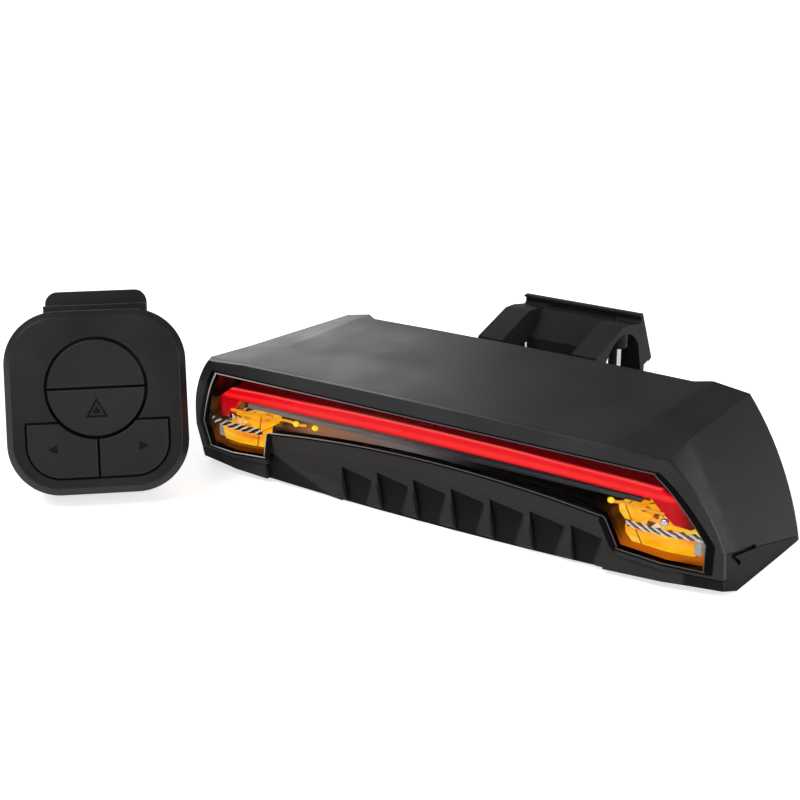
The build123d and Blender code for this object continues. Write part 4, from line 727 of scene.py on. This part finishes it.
def on_front(x, z, depth=0.0, soft=TRIM_SOFT):
    """Points in metres: y = (crown - z) * lean + (depth + bend * distance past the bend) / cos."""
    past = np.abs(x) - BEND_AT
    past = (past + np.sqrt(past ** 2 + soft ** 2)) / 2
    y = (CROWN - z) * LEAN + (depth + BEND * past) / LEAN_COS - ORIGIN_BACK
    return np.stack(np.broadcast_arrays(x, y, z), axis=-1) * MM


def window_ceiling(x):
    """Upper edge: level, then a bowed slope, bow * 4 * run * (1 - run), to the widest place."""
    run = (np.abs(x) - WINDOW_TOP[0]) / (WINDOW_WIDE[0] - WINDOW_TOP[0])
    run = np.clip(run, 0.0, 1.0)
    slope = WINDOW_TOP[1] + (WINDOW_WIDE[1] - WINDOW_TOP[1]) * run
    return slope + SIDE_BOW * 4 * run * (1 - run)


def window_floor(x):
    """Lower edge: an arc over the chin, a steep step at its end, and the foot."""
    far = np.abs(x)
    arc = CHIN_CREST - (CHIN_CREST - CHIN_TOP[1]) * (far / CHIN_TOP[0]) ** 2
    corners = np.array((CHIN_TOP, CHIN_END, WINDOW_FOOT, WINDOW_WIDE))
    return np.where(far < CHIN_TOP[0], arc, np.interp(far, corners[:, 0], corners[:, 1]))


def window_outline():
    """The window's edge as evenly spaced points across and up, all the way round."""
    right = np.unique(np.concatenate([np.linspace(*run) for run in OUTLINE_RUNS]))
    across = np.concatenate([-right[:0:-1], right])
    over = np.stack([across, window_ceiling(across)], axis=1)
    under = np.stack([across, window_floor(across)], axis=1)[::-1]
    loop = np.vstack([over, under[1:-1], over[:1]])
    steps = np.linalg.norm(np.diff(loop, axis=0), axis=1)
    length = np.concatenate([[0], np.cumsum(steps)])
    marks = np.linspace(0, length[-1], int(length[-1] / OUTLINE_GAP), endpoint=False)
    return np.stack([np.interp(marks, length, loop[:, i]) for i in (0, 1)], axis=1)


outline = window_outline()
print("window outline points:", len(outline))

# %% [markdown]
# ## Two ways to make a surface
#
# The new pieces are grids of points. The first helper turns any grid into quads, and can
# join the last row or column to the first. The second carries a soft rectangle along a
# path: the point at angle v is the path's point plus side * a * c + up * b * s, where c
# and s are the cosine and sine with their size raised to a power below one, which
# squares the circle off.


# %% Grid and bar
def raised(value, power):
    """A number's size raised to a power, with its sign kept."""
    return np.sign(value) * np.abs(value) ** power


def unit(vectors):
    return vectors / np.linalg.norm(vectors, axis=1, keepdims=True)


def grid_faces(rows, cols, wrap_rows, wrap_cols):
    """Quads over a grid of points; a wrapped way joins its last line to its first."""
    index = np.arange(rows * cols).reshape(rows, cols)
    near, far = index, np.roll(index, -1, axis=0)
    if not wrap_rows:
        near, far = near[:-1], far[:-1]
    right_near, right_far = np.roll(near, -1, axis=1), np.roll(far, -1, axis=1)
    quads = np.stack([near, right_near, right_far, far], axis=-1)
    if not wrap_cols:
        quads = quads[:, :-1]
    return quads.reshape(-1, 4).tolist()


def new_piece(name, points, faces, material, smooth=True, closed=True):
    """A mesh on the light from points and faces, with doubles merged and faces turned out."""
    mesh = bpy.data.meshes.new(name)
    mesh.from_pydata(points.reshape(-1, 3).tolist(), [], faces)
    work = bmesh.new()
    work.from_mesh(mesh)
    bmesh.ops.remove_doubles(work, verts=work.verts, dist=1e-6)
    bmesh.ops.dissolve_degenerate(work, edges=work.edges, dist=1e-7)
    if closed:
        bmesh.ops.recalc_face_normals(work, faces=work.faces)
    work.to_mesh(mesh)
    work.free()
    mesh.polygons.foreach_set("use_smooth", np.full(len(mesh.polygons), smooth))
    return add_piece(name, mesh, material, "light")


def bar(name, centre, side, up, half_side, half_up, material, slot, closed, count=14, power=0.6):
    """A soft rectangle carried along a path, path + side * a * c + up * b * s, with capped ends."""
    angle = np.linspace(0, 2 * np.pi, count, endpoint=False)
    c, s = raised(np.cos(angle), power)[None, :, None], raised(np.sin(angle), power)[None, :, None]
    wide = half_side.reshape(-1, 1, 1) * side[:, None, :] * c
    high = half_up.reshape(-1, 1, 1) * up[:, None, :] * s
    points = centre[:, None, :] + wide + high
    rows, cols = points.shape[:2]
    faces = grid_faces(rows, cols, closed, True)
    if not closed:
        faces += [list(range(cols)), list(range((rows - 1) * cols, rows * cols))[::-1]]
    return new_piece(name, points, faces, material)


print("a grid of 3 by 3 points has", len(grid_faces(3, 3, False, False)), "quads")

# %% [markdown]
# ## The window
#
# The solid window fills its frame as one thick block. The real one is a shell of even
# thickness, so here it is a grid: columns run across, rows run from the window's lower
# edge to its upper edge, and Solidify gives the wall. It replaces the block.

# %% Window shell
LENS_DEPTH, LENS_WALL = 0.25, 0.35
LENS_COLUMNS, LENS_ROWS, LENS_INSET = 121, 13, 0.01
lens_right = np.linspace(0, WINDOW_WIDE[0] - LENS_INSET, LENS_COLUMNS)
lens_x = np.concatenate([-lens_right[:0:-1], lens_right])
lens_share = np.linspace(0, 1, LENS_ROWS)[:, None]
lens_z = window_floor(lens_x) * (1 - lens_share) + window_ceiling(lens_x) * lens_share
lens_points = on_front(np.broadcast_to(lens_x, lens_z.shape), lens_z, LENS_DEPTH, WINDOW_SOFT)
lens = new_piece("window_shell", lens_points, grid_faces(*lens_z.shape, False, False), clear,
                 closed=False)
wall = lens.modifiers.new("wall", "SOLIDIFY")
wall.thickness = LENS_WALL * MM
wall.offset = -1.0
wall.use_rim = True
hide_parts("front_lens")
print("window faces:", len(lens.data.polygons))

# %% [markdown]
# ## The window's border
#
# Around the clear part runs a near-black gloss border, wide at both ends and thin above
# and below: painted shade, standing in for the black inner wall of the opening in shade.
# Inside it lies a pale line, a painted highlight where the window's edge gathers light.
# Both are bars carried round the same outline, set inward along its normal. The width of
# the border depends on the normal: width = thin + extra * nx squared, so it swells where
# the edge runs upright. The painted highlight is brightest at the far left and falls off
# to the right.

# %% Border and edge line
BORDER_OUTWARD = (0.12, 0.6)
BORDER_INWARD = (0.16, 0.5)
LINE_WIDTH, LINE_EXTRA, HIGH_EDGE = 0.2, 0.06, 14.5
TRIM_THICK, LINE_DEPTH = 0.14, 0.1
LINE_RUN, LINE_GLOW = (-56.0 * MM, 34.0 * MM), 0.5


def inward_normals(loop):
    """Unit normals of a closed outline, by the difference of its neighbours."""
    run = unit(np.roll(loop, -1, axis=0) - np.roll(loop, 1, axis=0))
    return np.stack([run[:, 1], -run[:, 0]], axis=1)


def ring(name, near, far, depth, material, slot):
    """A bar round the window between two distances inside its edge, given per point."""
    normal = inward_normals(outline)
    middle = outline + normal * ((near + far) / 2)[:, None]
    edge = outline + normal * far[:, None]
    centre = on_front(middle[:, 0], middle[:, 1], depth)
    side = on_front(edge[:, 0], edge[:, 1], depth) - centre
    run = unit(np.roll(centre, -1, axis=0) - np.roll(centre, 1, axis=0))
    half_up = np.full(len(outline), TRIM_THICK * MM / 2)
    bar(name, centre, unit(side), np.cross(unit(side), run), np.linalg.norm(side, axis=1), half_up,
        material, slot, True)


def edge_highlight_finish():
    """A painted highlight: a pale glow that runs from the left end to a dark right end."""
    kit = Finish("edge_line", 0.3, specular=0.6)
    x, _, _ = kit.axes(kit.place)
    painted_highlight = kit.ramp(kit.step(x, *LINE_RUN),
                    [(0.012, (0.16, 0.15, 0.14)), (0.03, (0.5, 0.46, 0.42)), (0.25, (0.2, 0.19, 0.185)),
                     (0.6, (0.075, 0.073, 0.08)), (1.0, (0.05, 0.05, 0.056))])
    kit.give("Base Color", painted_highlight)
    kit.glow(painted_highlight, LINE_GLOW)
    kit.relief(kit.noise(2500.0), 4e-6)
    return kit.mat


upright = inward_normals(outline)[:, 0] ** 2
border_out, border_in = (thin + extra * upright for thin, extra in (BORDER_OUTWARD, BORDER_INWARD))
line_width = LINE_WIDTH + LINE_EXTRA * (outline[:, 1] > HIGH_EDGE) * (1 - upright)
# Painted shade: a near-black border where the opening's inner wall lies in shade.
ring("window_border", -border_out, border_in, 0.0, border_shade_black, "bezel")
# Painted highlight: the pale line where the window's edge gathers light.
ring("window_edge_line", border_in, border_in + line_width, LINE_DEPTH, edge_highlight_finish(), "divider")
print("border width at the ends:", round(float((border_out + border_in).max()), 2), "mm")

# %% [markdown]
# ## Small optics at both ends
#
# Between the two amber blocks of each end lies a ridged bright strip. A stem of amber
# plastic runs along the top of the upper block towards the middle, with a round bead at
# its end. The left one is longer: a second bead sits on it, and the first stands a
# little past its end. The lower block has a frosted cap at its outer end, and the upper
# one a small bright spot. All of them are made for the right side and mirrored in x,
# which only changes the sign of one coordinate. Sizes are in millimetres.

# %% Strips, stems, beads and caps
STRIP_FROM, STRIP_TO, STRIP_FOOT, STRIP_FALL = 36.9, 49.6, 9.55, 0.03
STRIP_HEIGHT, STRIP_DEPTH, STRIP_WALL, RIDGE_DEPTH = 1.25, 1.75, 0.12, 0.5
STEM_FROM, STEM_HEIGHT, STEM_RISE, STEM_HALF = 43.5, 13.45, 0.35, 0.22
RIPPLE, RIPPLE_TURNS, RIPPLE_FROM = 0.15, 3, 0.45
STEM_DEPTH = 2.3


def lump(name, side, place, half, power, material, count=24):
    """A soft box or bead: each half size times a product of cosine and sine, raised to a power."""
    x, z, depth = place
    middle = on_front(np.array(side * x), np.array(z), depth)
    v = np.linspace(-np.pi / 2, np.pi / 2, count)[:, None]
    u = np.linspace(0, 2 * np.pi, count * 2, endpoint=False)[None, :]
    cos_v, sin_v = raised(np.cos(v), power), raised(np.sin(v), power)
    ball = np.stack(np.broadcast_arrays(cos_v * raised(np.cos(u), power),
                                        cos_v * raised(np.sin(u), power), sin_v), axis=-1)
    points = ball * (np.array(half) * MM) + middle
    return new_piece(name, points, grid_faces(*points.shape[:2], False, True), material)


def ridged_strip(name, side):
    """A strip with a saw of slanted ridges: |fract((x + slant * z) / pitch) - 0.5| * 2 deep."""
    x = np.linspace(STRIP_FROM, STRIP_TO, 180)[None, :]
    z = STRIP_FOOT - STRIP_FALL * (x - STRIP_FROM) + STRIP_HEIGHT * np.linspace(0, 1, 9)[:, None]
    saw = np.abs(((x + RIDGE_SLANT * z) / RIDGE_PITCH) % 1.0 - 0.5) * 2
    points = on_front(side * x + 0 * z, z, STRIP_DEPTH + RIDGE_DEPTH * saw)
    shape = new_piece(name, points, grid_faces(*z.shape, False, False), ridge_stripes,
                      smooth=False, closed=False)
    shape.modifiers.new("wall", "SOLIDIFY").thickness = STRIP_WALL * MM
    return shape


def stem(name, side, end):
    """A thin amber bar from over the upper block towards the middle, rippled near its end."""
    share = np.linspace(0, 1, 40)
    x = STEM_FROM - (STEM_FROM - end) * share
    ripple = RIPPLE * np.sin(2 * np.pi * RIPPLE_TURNS * share) * (share > RIPPLE_FROM)
    z = STEM_HEIGHT + STEM_RISE * np.sin(np.pi * share / 2) + ripple
    centre = on_front(side * x, z, STEM_DEPTH)
    out = np.tile([0.0, -1.0, 0.0], (len(share), 1))
    up = unit(np.cross(unit(np.gradient(centre, axis=0)), out))
    half = np.full(len(share), STEM_HALF * MM)
    return bar(name, centre, up, out, half, half, amber_stem_glow, "amber_guide", False)


optics = []
for side, label, stem_end, bead_at in ((-1, "left", 26.4, 24.4), (1, "right", 34.3, 34.3)):
    optics += [
        ridged_strip(label + "_ridged_strip", side),
        stem(label + "_amber_stem", side, stem_end),
        lump(label + "_stem_bead", side, (bead_at, 13.75, STEM_DEPTH), (0.62, 0.5, 0.5), 1.0,
             bead_glow),
        lump(label + "_frosted_cap", side, (48.3, 7.6, 3.6), (0.75, 1.1, 1.35), 0.3,
             frosted_end),
        lump(label + "_bright_dot", side, (43.6, 12.0, 2.2), (0.7, 0.5, 0.6), 0.7,
             bright_steel),
    ]
optics.append(lump("left_outer_bead", -1, (28.6, 13.7, STEM_DEPTH), (0.6, 0.5, 0.55), 1.0,
                   bead_glow))
print("small optics in all:", len(optics))

# %% [markdown]
# ## Studio
#
# The product stands on pale paper in soft light. The roof mirrors whatever is behind it
# low on the left, so one large soft lamp stands there and the gloss fades to the right.
# A second lamp lights the front, a third the right end. The paper and the air look white
# to the camera without throwing that white on the object. Mirrors and glass see dark
# paper, and air that is white only just above the horizon, because black plastic under
# a white dome would turn grey.

# %% Floor, world and lamps
FLOOR_HALF = 3.0
PAPER = (0.9, 0.9, 0.9, 1)
PAPER_SEEN, PAPER_MIRRORED = 0.78, 0.1
AIR_LIGHT, AIR_SEEN = 0.35, 1.0
HAZE_TOP, AIR_ABOVE = 0.16, 0.12


def white_when_seen(kit, low, seen, mirrored):
    """Strength low for light on things, seen for the camera, mirrored for mirrors and glass."""
    path = kit.node("ShaderNodeLightPath").outputs
    level = low
    for kind in ("Is Glossy Ray", "Is Transmission Ray"):
        level = kit.between(path[kind], level, mirrored)
    return kit.between(path["Is Camera Ray"], level, seen)


def set_up(thing, place, direction):
    """Adds a lamp or camera at a place, looking along a direction."""
    thing.location = place
    thing.rotation_mode = "QUATERNION"
    thing.rotation_quaternion = direction.to_track_quat("-Z", "Y")
    bpy.context.collection.objects.link(thing)


floor_mesh = bpy.data.meshes.new("floor")
corners = FLOOR_HALF * np.array([[-1, -1, 0], [1, -1, 0], [1, 1, 0], [-1, 1, 0]], float)
floor_mesh.from_pydata(corners.tolist(), [], [(0, 1, 2, 3)])
floor = bpy.data.objects.new("floor", floor_mesh)
bpy.context.collection.objects.link(floor)
paper = Finish("studio_paper", 0.9, specular=0.2)
paper.give("Base Color", PAPER)
paper.glow(PAPER, white_when_seen(paper, 0.0, PAPER_SEEN, PAPER_MIRRORED))
dress(floor, paper.mat)

world = bpy.data.worlds.new("studio_air")
bpy.context.scene.world = world
world.use_nodes = True
background = world.node_tree.nodes["Background"]
background.inputs["Color"].default_value = (1, 1, 1, 1)
air = Wiring(world.node_tree)
rise = air.axes(air.node("ShaderNodeTexCoord").outputs["Generated"])[2]
haze = air.step(rise, 0.0, HAZE_TOP, 1.0, AIR_ABOVE)
air.put(background.inputs["Strength"], white_when_seen(air, AIR_LIGHT, AIR_SEEN, haze))

# name, place, aim, width, height, watts
lamps = (
    ("back_left_box", (-0.62, 0.50, 0.24), (-0.02, 0, 0.02), 0.5, 0.36, 1.6),
    ("front_box", (-0.20, -0.62, 0.85), (0, 0, 0.01), 0.5, 0.4, 4.5),
    ("right_box", (0.9, -0.1, 0.35), (0, 0, 0.01), 0.4, 0.5, 2.8),
)
for name, place, aim, width, height, watts in lamps:
    data = bpy.data.lights.new(name, "AREA")
    data.shape = "RECTANGLE"
    data.size, data.size_y, data.energy = width, height, watts
    set_up(bpy.data.objects.new(name, data), place, Vector(aim) - Vector(place))
print("lamps:", [lamp[0] for lamp in lamps])

# %% [markdown]
# ## Camera
#
# A long lens from the right front, a little above: the roof, the window, the ribbed chin
# and the right end all show at once. Its direction was worked out from pairs of corners
# that mirror each other on the light.

# %% Camera
AZIMUTH, ELEVATION = math.radians(33.286), math.radians(19.959)
DISTANCE = 0.27615
TARGET = Vector((-0.002904, -0.023, 0.024931))
LENS_LENGTH, SENSOR_WIDTH, NEAREST = 74.25, 36.0, 0.01
camera_data = bpy.data.cameras.new("camera")
camera_data.lens = LENS_LENGTH
camera_data.sensor_width = SENSOR_WIDTH
camera_data.clip_start = NEAREST
camera = bpy.data.objects.new("camera", camera_data)
back = outward(AZIMUTH, ELEVATION)
set_up(camera, TARGET + back * DISTANCE, -back)
bpy.context.scene.camera = camera
bpy.context.scene.view_settings.view_transform = "Standard"
print("camera at", tuple(round(v, 4) for v in camera.location))
